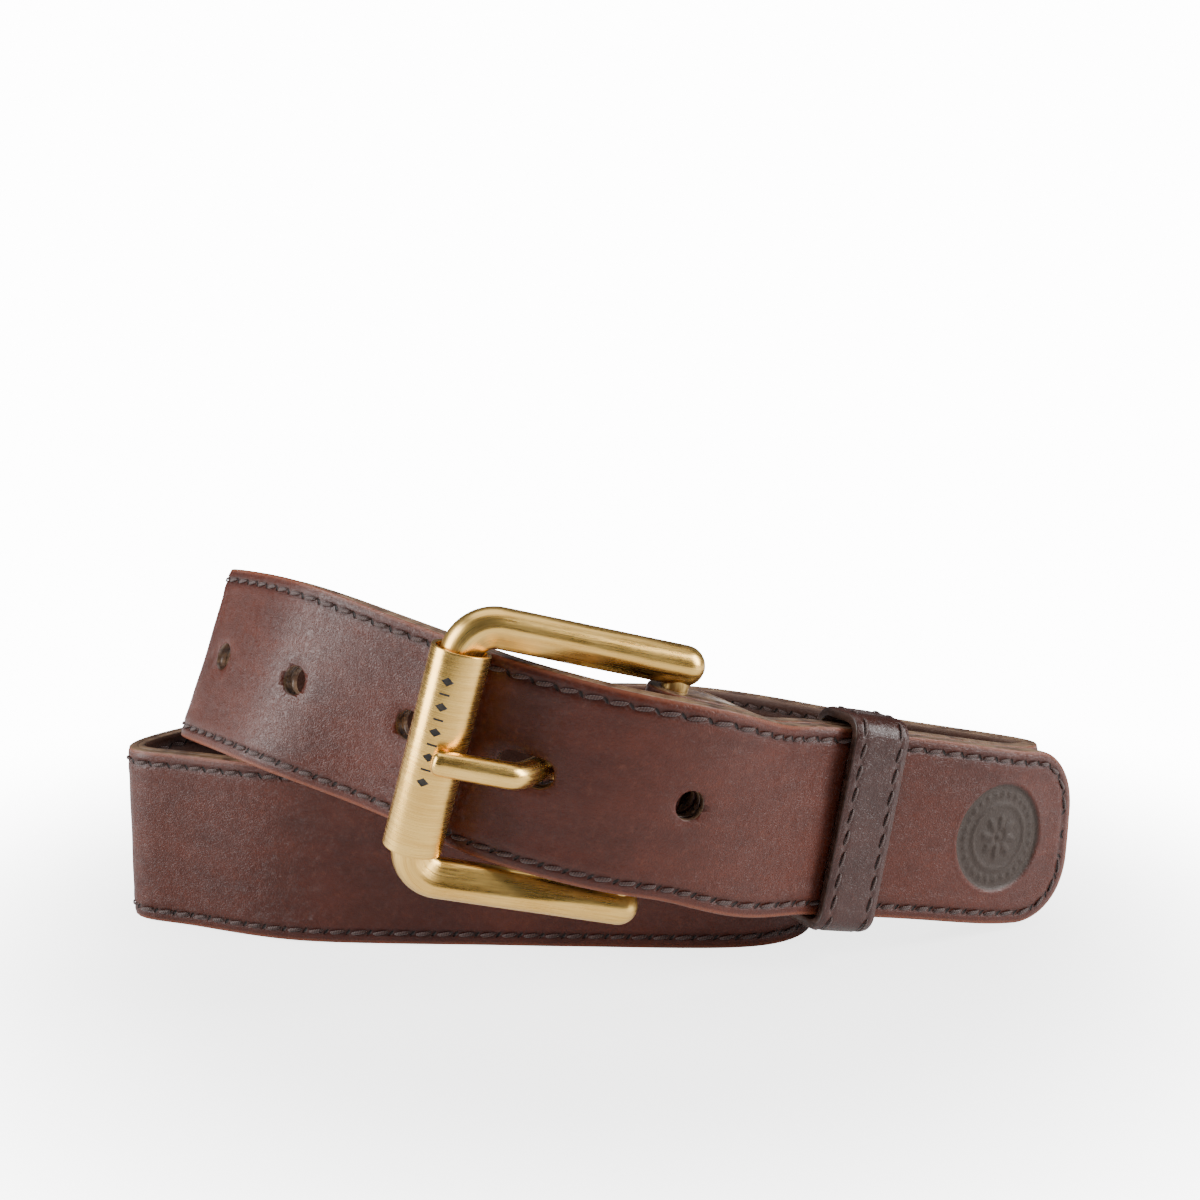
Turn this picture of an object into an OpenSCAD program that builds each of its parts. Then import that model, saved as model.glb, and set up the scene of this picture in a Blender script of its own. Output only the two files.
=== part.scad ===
// Leather dress belt with a brass roller buckle, buckled up and stood on its edge in a coil of two turns.
// Frame: +Z up, origin on the supporting surface under the middle of the coil's box.
// The strap's route starts at the buckle's pivot bar, runs two turns and ends at the rounded tip.

/* [Strap] */
// Width of the strap
strap_w = 34; // [30:0.5:40]
// Thickness of the grain leather layer
grain_t = 2.0; // [1.4:0.1:2.4]
// Thickness of the lining layer
lining_t = 1.6; // [1.2:0.1:2.0]
// Glue line between the two layers
glue_gap = 0.05; // [0.03:0.01:0.1]
// Free space between two layers of strap that lie on each other
layer_gap = 0.75; // [0.7:0.05:0.9]
// Size of the bevel along each edge of the strap
edge_bevel = 0.45; // [0.2:0.05:0.6]
// Corner radius of the rounded tip
tip_corner_r = 12; // [6:0.5:14]
// Length of the strap past the buckle's roller
tip_reach = 131.5; // [125:0.5:135]

/* [Coil] */
// Overall length of the coil, across the buckle's face
coil_l = 190; // [165:1:230]
// Overall depth of the coil, from the front strap to the back turn
coil_d = 112; // [95:1:140]
// Heading of the buckle, turned away from the front at its tip end
buckle_heading = 15.2; // [14:0.2:16]
// Dip of the buckle towards its tip end
buckle_dip = 12; // [10:0.5:14]
// Outward lean of the buckle's upper end
buckle_lean = 4.8; // [3:0.2:6]

/* [Holes] */
// Diameter of a punched hole
hole_d = 5.2; // [4.8:0.1:6.5]
// Distance between punched holes
hole_pitch = 25; // [20:0.5:30]
// Stretch of the hole that the prong pulls on
hole_stretch = 4.9; // [4.7:0.1:5.4]

/* [Stitching] */
// Distance of a stitch row from the edge
stitch_inset = 2.3; // [1.8:0.1:3]
// Width of the thread
thread_w = 0.7; // [0.5:0.05:0.9]
// Height of the thread over the leather
thread_h = 0.2; // [0.1:0.02:0.25]

/* [Buckle] */
// Distance from the roller's axis to the pivot bar's axis
bar_span = 36.6; // [34:0.2:44]
// Free height inside the buckle frame
frame_inner_w = 36.2; // [35.4:0.1:44]
// Diameter of the frame's side bars
side_d = 6.9; // [5.8:0.1:8]
// Radius of the frame's front corners, at the middle of the bar
corner_r = 5.4; // [4.4:0.1:7]
// Outer diameter of the roller
roller_d = 9.8; // [8:0.1:11]
// Wall of the roller's sheet
roller_t = 0.7; // [0.5:0.05:1]
// Running clearance between the roller and the front bar
roller_clear = 0.45; // [0.2:0.05:0.8]
// Gap at each end of the roller
roller_end_gap = 1; // [0.5:0.1:2]
// Diameter of the pivot bar
pivot_d = 4.6; // [4:0.1:5.4]
// Diameter of the prong
prong_d = 4.4; // [3.6:0.1:4.6]
// Running clearance between the prong's eye and the pivot bar
eye_clear = 0.1; // [0.06:0.01:0.1]
// Wall of the prong's eye
eye_t = 1.3; // [0.9:0.1:1.6]
// Reach of the prong past the roller's axis
prong_reach = 1.8; // [1:0.2:4]

/* [Keeper] */
// Width of the keeper loop, along the strap
keeper_w = 11.6; // [8:0.2:16]
// Thickness of the keeper's leather
keeper_t = 1.9; // [1.4:0.1:2.4]
// Free space between the keeper and the strap's faces and edges
keeper_clear = 1; // [0.9:0.05:1.4]
// Distance from the roller's axis to the middle of the keeper
keeper_at = 79; // [74:1:92]
// Distance of a keeper stitch row from the keeper's edge
keeper_stitch_inset = 1.9; // [1.4:0.1:3]

/* [Medallion] */
// Diameter of the pressed medallion
medal_d = 21; // [14:0.5:24]
// Distance of the medallion's middle from the tip
medal_inset = 19.5; // [16:0.5:24]
// Depth of the pressed ground
medal_depth = 0.5; // [0.3:0.05:0.8]

/* [Fold] */
// Length of strap turned back behind the pivot bar
turnback_l = 22; // [16:1:24]
// Free space between the fold and the pivot bar
fold_clear = 0.3; // [0.2:0.05:0.5]

/* [Hidden] */

strap_t = grain_t + glue_gap + lining_t;
layer_pitch = strap_t + layer_gap;
up = [0, 0, 1];
run_gap = 0.35;             // free space between the strap and the roller
eps = 0.01;

// --- Vectors -------------------------------------------------------------------------------------------------
function unit(v) = v / norm(v);
function mix(a, b, t) = a + (b - a) * t;
function clamp(t) = min(1, max(0, t));
function smooth(t) = let (c = clamp(t)) c * c * (3 - 2 * c);
// plan direction with a heading in degrees, and the outward normal of a strap that runs that way
function heading_vec(a) = [cos(a), sin(a), 0];
function plan_normal(d) = unit([d[1], -d[0], 0]);

// --- Buckle axes: along the frame, along the roller, and out of the frame's face -----------------------------------
coil_mid = [0.2, 44.2, 0];   // middle of the coil as the route points draw it; the frame's origin lies there
roller_up = 1.332;            // height of the roller's middle above the floor, in strap widths
roller_at = [-26.4, -6.1, strap_w * roller_up] - coil_mid;
buckle_x = let (h = heading_vec(buckle_heading)) unit([h[0] * cos(buckle_dip), h[1] * cos(buckle_dip), -sin(buckle_dip)]);
buckle_y = let (n = plan_normal(buckle_x), u = up * cos(buckle_lean) + n * sin(buckle_lean))
    unit(u - (u * buckle_x) * buckle_x);
buckle_z = cross(buckle_x, buckle_y);

// --- The strap's route -----------------------------------------------------------------------------------------------
// A route point is [place, up direction across the strap]. The route is a uniform cubic B-spline through them.
reach_roller = roller_d / 2 + run_gap + strap_t / 2;                    // strap's middle from the roller's axis
fold_r = pivot_d / 2 + fold_clear;                                      // inner radius of the fold
reach_bar = fold_r + grain_t + layer_gap + strap_t / 2;                 // strap's middle from the pivot bar's axis

// Past the buckle: [share of the bar span from roller to bar, share of the reach, which reach]
function buckle_point(share, out) = [roller_at + buckle_x * (share * bar_span) + buckle_z * out, buckle_y];
buckle_run = [buckle_point(-0.25, -2.85 * reach_roller), buckle_point(0.01, -1.62 * reach_roller),
              buckle_point(0.23, -0.34 * reach_roller), buckle_point(0.50, 0.43 * reach_bar),
              buckle_point(0.86, 1.07 * reach_bar), buckle_point(1.22, 0.97 * reach_bar)];

// Plan points are [x, y, lower edge above the floor in strap widths, outward lean in degrees].
tip_points = [[27.7, 6.9, 0.37, 2], [36.7, 15.1, 0.33, 0], [47.1, 20.3, 0.25, -1], [60.3, 25.3, 0.18, -1],
              [72.5, 30.8, 0.09, 0], [83, 36.8, 0.02, 1], [93, 43.6, 0, 1], [103.4, 50.3, 0, 0]];
coil_points = [[88.5, 47.5, 0, 0], [75, 57, 0, 0], [55, 71.5, 0, 0], [37, 90, 0, 0], [18, 102, 0, 0], [-4, 102, 0, 0],
               [-27, 94, 0, 0], [-50, 82.5, 0, 0], [-72, 70, 0, 0], [-87, 54, 0, 0], [-93.6, 38.4, 0, 0],
               [-79.5, 36.5, 0, 0], [-60, 27, 0, 0], [-35, 26.5, 0, 0], [-10, 25.8, 0, 0], [13, 25.1, 0, 0],
               [31, 25, 0, 0], [41, 33, 0, 0], [41, 47, 0, 0], [31, 59.5, 0.04, 0], [14, 67, 0.12, 0], [-8, 69, 0.25, 0],
               [-30, 67.5, 0.44, -2], [-51, 63, 0.68, -5], [-70, 55.5, 0.90, -11], [-78.5, 46, 1.02, -20],
               [-69.2, 35.5, 1.04, -21], [-57, 19, 1.06, -17]];

// Outside the buckle's own stretch the coil is stretched to its overall length and depth.
still_x = [-45, 28];
still_y = 16;
drawn_x = [-93.6, 88];
drawn_y = 103.6;
drawn_l = 190;               // overall length and depth of the coil as the route points draw it
drawn_d = 112;
extra_l = (coil_l - drawn_l) / 2;
grow_left = (still_x[0] - drawn_x[0] + extra_l) / (still_x[0] - drawn_x[0]);
grow_right = (drawn_x[1] - still_x[1] + extra_l) / (drawn_x[1] - still_x[1]);
grow_back = (drawn_y - still_y + coil_d - drawn_d) / (drawn_y - still_y);
function stretch_x(x) = x < still_x[0] ? still_x[0] + (x - still_x[0]) * grow_left
    : x > still_x[1] ? still_x[1] + (x - still_x[1]) * grow_right : x;
function stretch_y(y) = y > still_y ? still_y + (y - still_y) * grow_back : y;
function stretched(p) = [stretch_x(p[0]), stretch_y(p[1]), p[2], p[3]];

function plan_step(P, i) = P[min(i + 1, len(P) - 1)] - P[max(i - 1, 0)];
function laid(P) = [for (i = [0:len(P) - 1]) let (n = plan_normal(plan_step(P, i)))
    [[P[i][0], P[i][1], strap_w * (0.5 + P[i][2])] - coil_mid, up * cos(P[i][3]) + n * sin(P[i][3])]];
tip_plan = [for (p = tip_points) stretched(p)];
coil_plan = [for (p = coil_points) stretched(p)];
tip_run = concat(buckle_run, laid(tip_plan));
// the buckle end lies one layer behind the tip end, from the pivot bar to the last tip point but two
under_first = 3;
under_last = len(tip_run) - 3;
function under(i) = let (d = tip_run[i + 1][0] - tip_run[i - 1][0], n = unit(cross(unit(d), tip_run[i][1])))
    [tip_run[i][0] - n * layer_pitch, tip_run[i][1]];
under_run = [for (i = [under_first:under_last]) under(i)];
route = concat(under_run, laid(coil_plan), tip_run);
spans = len(route) - 3;
first_tip = len(route) - len(tip_run);

function weights(t) = [pow(1 - t, 3), 3 * t * t * t - 6 * t * t + 4, -3 * t * t * t + 3 * t * t + 3 * t + 1, t * t * t] / 6;
function slopes(t) = [-(1 - t) * (1 - t), 3 * t * t - 4 * t, -3 * t * t + 2 * t + 1, t * t] / 2;
function blend(w, i, k) = w[0] * route[i][k] + w[1] * route[i + 1][k] + w[2] * route[i + 2][k] + w[3] * route[i + 3][k];
// a frame of the strap is [middle, along, across, out of the grain face]
function frame_at(u) = let (i = min(spans - 1, max(0, floor(u))), t = u - i, w = weights(t),
    along = unit(blend(slopes(t), i, 0)), lift = blend(w, i, 1), across = unit(lift - (lift * along) * along))
    [blend(w, i, 0), along, across, cross(along, across)];

// --- Distance along the strap ------------------------------------------------------------------------------------------
steps = 8;                                                              // rings for each route point
grid = [for (k = [0:spans * steps]) k / steps];
places = [for (u = grid) frame_at(u)[0]];
function running(P, k = 1, sum = 0, out = [0]) = k >= len(P) ? out
    : let (s = sum + norm(P[k] - P[k - 1])) running(P, k + 1, s, concat(out, [s]));
lengths = running(places);
length_of = [for (k = [0:len(grid) - 1]) [grid[k], lengths[k]]];
u_of = [for (k = [0:len(grid) - 1]) [lengths[k], grid[k]]];

// station of the roller: where the tip end passes nearest to the roller's axis
tip_grid = [for (k = [0:len(grid) - 1]) if (grid[k] > first_tip - 1 && grid[k] < first_tip + 3) k];
function axis_gap(k) = norm(cross(places[k] - roller_at, buckle_y));
nearest = [for (k = tip_grid) if (axis_gap(k) <= min([for (j = tip_grid) axis_gap(j)])) k][0];
roller_s = lengths[nearest];
// the strap starts where it would hold the pivot bar one bar span from the roller
grain_in = strap_t / 2 - grain_t;
function bar_held(u) = let (f = frame_at(u)) f[0] + f[3] * (grain_in - fold_r);
start_u = [for (u = [0:0.02:4]) if ((bar_held(u) - roller_at) * buckle_x >= bar_span) u][0];
start_s = lookup(start_u, length_of);
end_s = roller_s + tip_reach;
function station(s) = frame_at(lookup(roller_s + s, u_of));             // s is measured from the roller

// --- Sweeps -------------------------------------------------------------------------------------------------------------
// rings is a list of closed rings of points, all of one length; the ends are closed flat. The last side is split
// along its other diagonal, so that two layers lying on each other meet along the same lines.
module skin(rings) {
    n = len(rings[0]);
    m = len(rings);
    polyhedron(
        points = [for (r = rings) each r],
        faces = concat([[for (j = [0:n - 1]) j]], [[for (j = [n - 1:-1:0]) (m - 1) * n + j]],
            [for (i = [0:m - 2], j = [0:n - 1]) let (a = i * n + j, b = i * n + (j + 1) % n)
                j == n - 1 ? [a, a + n, b] : [a, b + n, b]],
            [for (i = [0:m - 2], j = [0:n - 1]) let (a = i * n + j, b = i * n + (j + 1) % n)
                j == n - 1 ? [a + n, b + n, b] : [a, a + n, b + n]]));
}

// Rings are kept where the strap has turned by ring_turn degrees since the last one, or has run three steps straight.
ring_turn = 2.5;
straight_steps = 3;
ways = [for (u = grid) let (f = frame_at(u)) [f[1], f[2]]];
function turned(i, k) = max([for (c = [0, 1]) acos(min(1, ways[i][c] * ways[k][c]))]);
function ring_list(k = 1, last = 0, out = []) = k >= len(grid) ? out
    : k - last >= straight_steps || turned(last, k) > ring_turn
        ? ring_list(k + 1, k, concat(out, [k])) : ring_list(k + 1, last, out);
kept = ring_list();

ring_room = 0.6;                                                        // least distance between two rings
body_u = [for (k = kept) if (lengths[k] > start_s + ring_room && lengths[k] < end_s - tip_corner_r - ring_room) grid[k]];
// half width at a distance d from the tip: full, then a quarter circle at each corner
function half_width(d) = strap_w / 2 - (d >= tip_corner_r ? 0
    : tip_corner_r - sqrt(max(0, tip_corner_r * tip_corner_r - pow(tip_corner_r - d, 2))));
tip_cuts = 8;
tip_d = [for (k = [1:tip_cuts]) tip_corner_r * (1 - sin(90 * k / tip_cuts))];
tip_u = [for (d = tip_d) lookup(end_s - d, u_of)];

// section of one layer from inner offset a to outer offset b, bevelled on the outer or the inner corners
function layer_section(f, h, a, b, outer) = let (c = f[0], w = f[2], n = f[3], k = edge_bevel)
    outer ? [c + w * h + n * a, c + w * h + n * (b - k), c + w * (h - k) + n * b,
             c - w * (h - k) + n * b, c - w * h + n * (b - k), c - w * h + n * a]
          : [c + w * h + n * b, c - w * h + n * b, c - w * h + n * (a + k),
             c - w * (h - k) + n * a, c + w * (h - k) + n * a, c + w * h + n * (a + k)];
lining_out = grain_in - glue_gap;

// --- The fold round the pivot bar ---------------------------------------------------------------------------------------
start_frame = frame_at(start_u);
bar_c = bar_held(start_u);
bar_axis = start_frame[2];
fold_steps = 12;
function fold_frame(k) = let (a = -90 + 180 * k / fold_steps,
    out = start_frame[3] * sin(a) - start_frame[1] * cos(a), along = cross(start_frame[2], out))
    [bar_c + out * fold_r, along, start_frame[2], out];
// the turned-back end closes from the fold onto the lining's back over its first half
turn_steps = 8;
turn_from = (bar_c - start_frame[0]) * start_frame[3] - fold_r;
turn_to = -strap_t / 2 - layer_gap;
function turn_frame(k) = let (s = turnback_l * k / turn_steps, f = frame_at(lookup(start_s + s, u_of)),
    off = mix(turn_from, turn_to, smooth(2 * s / turnback_l)))
    [f[0] + f[3] * off, -f[1], f[2], -f[3]];
function folded(f) = layer_section([f[0], f[1], f[2], f[3]], strap_w / 2, 0, grain_t, true);

// --- Holes ----------------------------------------------------------------------------------------------------------------
used_hole_s = 14.5;
hole_stations = [for (k = [-3:1]) used_hole_s + k * hole_pitch];
module placed(f) {
    multmatrix([[f[1][0], f[2][0], f[3][0], f[0][0]], [f[1][1], f[2][1], f[3][1], f[0][1]],
                [f[1][2], f[2][2], f[3][2], f[0][2]], [0, 0, 0, 1]]) children();
}
cut_l = 2 * strap_t;
module holes() {
    for (s = hole_stations) placed(station(s)) cylinder(d = hole_d, h = cut_l, center = true, $fn = 48);
    // the hole in use is pulled long towards the roller
    placed(station(used_hole_s)) {
        translate([-hole_stretch, 0, 0]) cylinder(d = hole_d, h = cut_l, center = true, $fn = 48);
        translate([-hole_stretch / 2, 0, 0]) cube([hole_stretch, hole_d, cut_l], center = true);
    }
}

// --- Medallion ------------------------------------------------------------------------------------------------------------
medal_ring_t = 1.1;
medal_ring_d = medal_d * 0.62;                                          // outer diameter of the raised ring
medal_beads = 8;
medal_bead_at = medal_d * 0.13;                                         // distance of the beads from the middle
medal_bead_d = medal_d * 0.085;
over = 1;                                                               // a cutting shape runs this far past the solid
module medallion_cut() {
    bite = strap_t;
    placed(station(tip_reach - medal_inset)) translate([0, 0, strap_t / 2 - medal_depth]) difference() {
        cylinder(d = medal_d, h = bite, $fn = 72);
        translate([0, 0, -eps]) difference() {
            cylinder(d = medal_ring_d, h = bite + over, $fn = 64);
            translate([0, 0, -over]) cylinder(d = medal_ring_d - 2 * medal_ring_t, h = bite + 3 * over, $fn = 64);
        }
        for (k = [0:medal_beads - 1]) rotate(k * 360 / medal_beads)
            translate([medal_bead_at, 0, -eps]) cylinder(d = medal_bead_d, h = bite + over, $fn = 24);
    }
}

// --- Strap layers ---------------------------------------------------------------------------------------------------------
lining_start = 9;                                                       // the lining stops short of the fold
module grain_strap() {
    color([0.33, 0.19, 0.15]) difference() {
        skin(concat(
            [for (k = [turn_steps:-1:1]) folded(turn_frame(k))],
            [for (k = [0:fold_steps]) folded(fold_frame(k))],
            [for (u = concat([lookup(start_s + ring_room / 2, u_of)], body_u, [lookup(end_s - tip_corner_r, u_of)]))
                layer_section(frame_at(u), strap_w / 2, grain_in, strap_t / 2, true)],
            [for (k = [0:tip_cuts - 1]) layer_section(frame_at(tip_u[k]), half_width(tip_d[k]), grain_in, strap_t / 2, true)]));
        holes();
        medallion_cut();
        prong_slot();
    }
}

module lining_strap() {
    color([0.24, 0.14, 0.11]) difference() {
        skin(concat(
            [for (u = concat(body_u, [lookup(end_s - tip_corner_r, u_of)])) if (lookup(u, length_of) > start_s + lining_start)
                layer_section(frame_at(u), strap_w / 2, -strap_t / 2, lining_out, false)],
            [for (k = [0:tip_cuts - 1])
                layer_section(frame_at(tip_u[k]), half_width(tip_d[k]), -strap_t / 2, lining_out, false)]));
        holes();
    }
}

// --- Stitching ------------------------------------------------------------------------------------------------------------
// One thread runs along the upper edge, round the tip and back along the lower edge.
stitch_from = 30;                                                       // first stitch, from the pivot bar
thread_h_off = 0.11;                                                    // lifts the thread clear of the leather
thread_top = 0.6;                                                       // width of the thread's flat top, as a share
row_w = strap_w / 2 - stitch_inset;
turn_r = tip_corner_r - stitch_inset;
straight_s = [for (k = kept) if (lengths[k] > start_s + stitch_from && lengths[k] < end_s - tip_corner_r - ring_room)
    lengths[k] - roller_s];
tip_turn = [for (a = [0:15:90]) [tip_reach - tip_corner_r + turn_r * sin(a), row_w - turn_r + turn_r * cos(a)]];
tip_turn_low = [for (k = [len(tip_turn) - 1:-1:0]) [tip_turn[k][0], -tip_turn[k][1]]];
row_path = concat([for (s = straight_s) [s, row_w]], tip_turn, tip_turn_low,
                  [for (k = [len(straight_s) - 1:-1:0]) [straight_s[k], -row_w]]);
module thread(side, colour) {
    base = side * (strap_t / 2 + thread_h_off);
    rise = side * thread_h;
    color(colour) skin([for (k = [0:len(row_path) - 1]) let (
        p = row_path[k], q = row_path[min(k + 1, len(row_path) - 1)] - row_path[max(k - 1, 0)],
        f = station(p[0]), d = q / norm(q), c = f[0] + f[2] * p[1],
        across = (f[2] * d[0] - f[1] * d[1]) * side * thread_w / 2)
        [c + across + f[3] * base, c + across * thread_top + f[3] * (base + rise),
         c - across * thread_top + f[3] * (base + rise), c - across + f[3] * base]]);
}
module outer_stitching() { thread(1, [0.24, 0.12, 0.10]); }
module inner_stitching() { thread(-1, [0.24, 0.12, 0.10]); }

// two rows across the strap close the fold behind the pivot bar
fold_rows = [5, 7];                                                     // at these steps of the turn-back
module fold_stitching() {
    for (k = fold_rows) color([0.24, 0.12, 0.10]) placed(turn_frame(k))
        translate([0, 0, grain_t + thread_h_off + thread_h / 2])
            cube([thread_w, strap_w - 2 * stitch_inset - 2 * thread_w, thread_h], center = true);
}

// --- Buckle ---------------------------------------------------------------------------------------------------------------
// Local frame of the buckle: origin on the pivot bar's axis, -X towards the roller, Y along the bar, Z out. The buckle
// sits across the strap where its prong meets the middle of the hole in use.
hole_frame = station(used_hole_s);
hole_rise = (hole_frame[0] - bar_c) * bar_axis;
to_roller = unit((roller_at - bar_c) - ((roller_at - bar_c) * bar_axis) * bar_axis);
buckle_frame_axes = [bar_c + bar_axis * hole_rise, -to_roller, bar_axis, cross(-to_roller, bar_axis)];
bar_out = frame_inner_w / 2 + side_d / 2;                               // side bar's middle from the buckle's middle
roller_l = frame_inner_w - 2 * roller_end_gap;
front_d = roller_d - 2 * roller_t - 2 * roller_clear;
bar_end_cover = 0.6;                                                    // side bar past the pivot bar's end
end_past = side_d / 2 + bar_end_cover;                                  // side bar past the pivot bar's axis
bore_past = 0.3;                                                        // bore past the pivot bar's end
pivot_fit = 0.02;
module in_buckle() { placed(buckle_frame_axes) children(); }
module along_y(d, l, fn = 48) { rotate([90, 0, 0]) cylinder(d = d, h = l, center = true, $fn = fn); }

module buckle_frame() {
    color([0.80, 0.63, 0.36]) in_buckle() difference() {
        union() {
            translate([-bar_span, 0, 0]) along_y(front_d, frame_inner_w + side_d - 2 * corner_r);
            for (side = [-1, 1]) {
                translate([-bar_span + corner_r, side * bar_out, 0]) rotate([0, 90, 0])
                    cylinder(d = side_d, h = bar_span - corner_r + end_past - side_d / 2, $fn = 48);
                translate([end_past - side_d / 2, side * bar_out, 0]) sphere(d = side_d, $fn = 48);
                translate([-bar_span + corner_r, side * (bar_out - corner_r), 0])
                    rotate([0, 0, side > 0 ? 90 : 180]) rotate_extrude(angle = 90, $fn = 96)
                        translate([corner_r, 0]) circle(d = side_d, $fn = 48);
            }
        }
        along_y(pivot_d + 2 * pivot_fit, 2 * (bar_out + bore_past));
    }
}

module pivot_bar() {
    color([0.72, 0.55, 0.30]) in_buckle() along_y(pivot_d, 2 * bar_out);
}

module roller() {
    seam_w = 0.35;
    color([0.85, 0.69, 0.42]) in_buckle() translate([-bar_span, 0, 0]) difference() {
        along_y(roller_d, roller_l, 72);
        along_y(roller_d - 2 * roller_t, roller_l + over, 72);
        // the sheet's butt seam, turned to the back
        translate([roller_d / 4, 0, -roller_d / 2]) cube([seam_w, roller_l + over, roller_d / 2], center = true);
    }
}

eye_d = pivot_d + 2 * (eye_clear + eye_t);
slot_side = 0.8;                                                        // free space at each side of the prong
slot_ahead = 1;                                                         // free space ahead of the eye
slot_w = prong_d + 2 * slot_side;
module prong_slot() {
    in_buckle() cube([eye_d + 2 * slot_ahead, slot_w, 2 * (fold_r + grain_t + over)], center = true);
    in_buckle() translate([-fold_r - grain_t, 0, 0]) cube([2 * (fold_r + grain_t), slot_w, 2 * (fold_r + grain_t)], center = true);
}

// The prong's middle line, as a height over the buckle's plane at each distance from the bar: it leaves the eye
// behind the strap, climbs through the hole and lies over the roller.
prong_gap = 0.15;                                                       // between the prong and the roller
prong_top = roller_d / 2 + prong_d / 2 + prong_gap;
climb_back = 1.6;                                                       // the climb's middle lies this far ahead of the hole's
hole_x = (hole_frame[0] - bar_c) * buckle_frame_axes[1] - climb_back;
climb_half = 4.6;
prong_low = -1.5;
function prong_z(x) = mix(prong_top, prong_low, smooth((x - hole_x + climb_half) / (2 * climb_half)));
prong_from = -bar_span - prong_reach;
prong_steps = 30;
prong_sides = 14;
prong_nose = [0.62, 0.94];                                              // first two rings, as shares of the prong's radius
eye_bite = 0.8;                                                         // the prong's shank reaches this far into its eye
slope_step = 0.1;
function prong_slope(x) = (prong_z(x + slope_step) - prong_z(x - slope_step)) / (2 * slope_step);
module prong() {
    to_eye = eye_bite - eye_d / 2;
    xs = [for (k = [0:prong_steps]) mix(prong_from, to_eye, k / prong_steps)];
    color([0.83, 0.66, 0.38]) in_buckle() difference() {
        union() {
            along_y(eye_d, prong_d);
            skin([for (k = [0:prong_steps]) let (x = xs[k], z = prong_z(x), n = unit([-prong_slope(x), 0, 1]),
                r = prong_d / 2 * (k < len(prong_nose) ? prong_nose[k] : 1))
                [for (j = [0:prong_sides - 1]) let (a = -360 * j / prong_sides)
                    [x, 0, z] + n * r * cos(a) + [0, 1, 0] * r * sin(a)]]);
        }
        along_y(pivot_d + 2 * eye_clear, prong_d + 2 * over);
    }
}

// --- Keeper ---------------------------------------------------------------------------------------------------------------
keeper_frame = let (f = station(keeper_at)) [f[0] - f[3] * layer_pitch / 2, f[1], f[2], f[3]];
keeper_in = [strap_w + 2 * keeper_clear, layer_pitch + strap_t + 2 * keeper_clear];
keeper_r = 2.2;                                                         // inner corner radius
module rounded(size, r) { offset(r = r, $fn = 32) square([size[0] - 2 * r, size[1] - 2 * r], center = true); }
module band(inner, wall, width) {
    rotate([90, 0, 90]) linear_extrude(height = width, center = true) difference() {
        rounded([inner[0] + 2 * wall, inner[1] + 2 * wall], keeper_r + wall);
        rounded(inner, keeper_r);
    }
}
module keeper_loop() {
    color([0.28, 0.15, 0.12]) placed(keeper_frame) band(keeper_in, keeper_t, keeper_w);
}
module keeper_stitching() {
    over = keeper_t + thread_h_off;
    color([0.20, 0.10, 0.09]) placed(keeper_frame) for (side = [-1, 1])
        translate([side * (keeper_w / 2 - keeper_stitch_inset), 0, 0])
            band([keeper_in[0] + 2 * over, keeper_in[1] + 2 * over], thread_h, thread_w);
}
// a wire staple joins the loop's ends behind the strap
staple_l = 7;
staple_d = 0.7;
staple_at = keeper_w / 6;                                               // each leg from the keeper's middle
module keeper_staple() {
    color([0.62, 0.60, 0.56]) placed(keeper_frame) for (side = [-1, 1])
        translate([side * staple_at, 0, -keeper_in[1] / 2 - keeper_t - staple_d / 2 - thread_h_off])
            along_y(staple_d, staple_l, 24);
}

grain_strap();
lining_strap();
outer_stitching();
inner_stitching();
fold_stitching();
buckle_frame();
pivot_bar();
roller();
prong();
keeper_loop();
keeper_stitching();
keeper_staple();
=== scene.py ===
"""Leather dress belt with a brass roller buckle, buckled up and stood on its edge in a coil of two turns."""
import bpy
import numpy as np
from mathutils import Matrix


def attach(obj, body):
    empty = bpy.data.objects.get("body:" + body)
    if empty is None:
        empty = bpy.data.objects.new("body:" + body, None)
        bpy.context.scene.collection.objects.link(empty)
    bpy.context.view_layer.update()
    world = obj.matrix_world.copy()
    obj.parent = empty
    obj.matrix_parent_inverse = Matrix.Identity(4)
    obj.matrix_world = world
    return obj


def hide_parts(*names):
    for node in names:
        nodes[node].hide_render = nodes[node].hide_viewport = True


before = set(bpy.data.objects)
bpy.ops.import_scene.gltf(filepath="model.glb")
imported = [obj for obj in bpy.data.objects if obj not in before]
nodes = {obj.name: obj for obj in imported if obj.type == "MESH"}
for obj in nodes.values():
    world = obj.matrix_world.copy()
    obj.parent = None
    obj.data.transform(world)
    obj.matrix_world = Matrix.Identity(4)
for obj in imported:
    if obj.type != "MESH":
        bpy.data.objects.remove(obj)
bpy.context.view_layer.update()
MM = 0.001

# --- Sizes of the strap and the buckle, in millimetres ----------------------------------------------------
STRAP_W, GRAIN_T, LINING_T, GLUE, LAYER_GAP = 34.0, 2.0, 1.6, 0.05, 0.75
STRAP_T = GRAIN_T + LINING_T + GLUE
LAYER_PITCH = STRAP_T + LAYER_GAP
TIP_R, TIP_REACH = 12.0, 131.5
BAR_SPAN, FRAME_W, SIDE_D, CORNER_R = 36.6, 36.2, 6.9, 5.4
ROLLER_D, ROLLER_T, ROLLER_END = 9.8, 0.7, 1.0
PIVOT_D, PRONG_D, PRONG_REACH, EYE_GAP, EYE_T = 4.6, 4.4, 1.8, 0.1, 1.3
HOLE_D, HOLE_PITCH, USED_HOLE, HOLE_PULL = 5.2, 25.0, 14.5, 4.9
STITCH_PITCH, STITCH_IN = 4.04, 2.3
STITCH_FROM = 30.0          # first stitch, from the pivot bar
RUN_GAP, FOLD_GAP = 0.35, 0.3   # strap from the roller, fold from the pivot bar
ROLLER_UP = 1.332           # height of the roller above the floor, in strap widths
HOLES = range(-3, 2)        # the five holes, counted from the one in use
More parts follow.
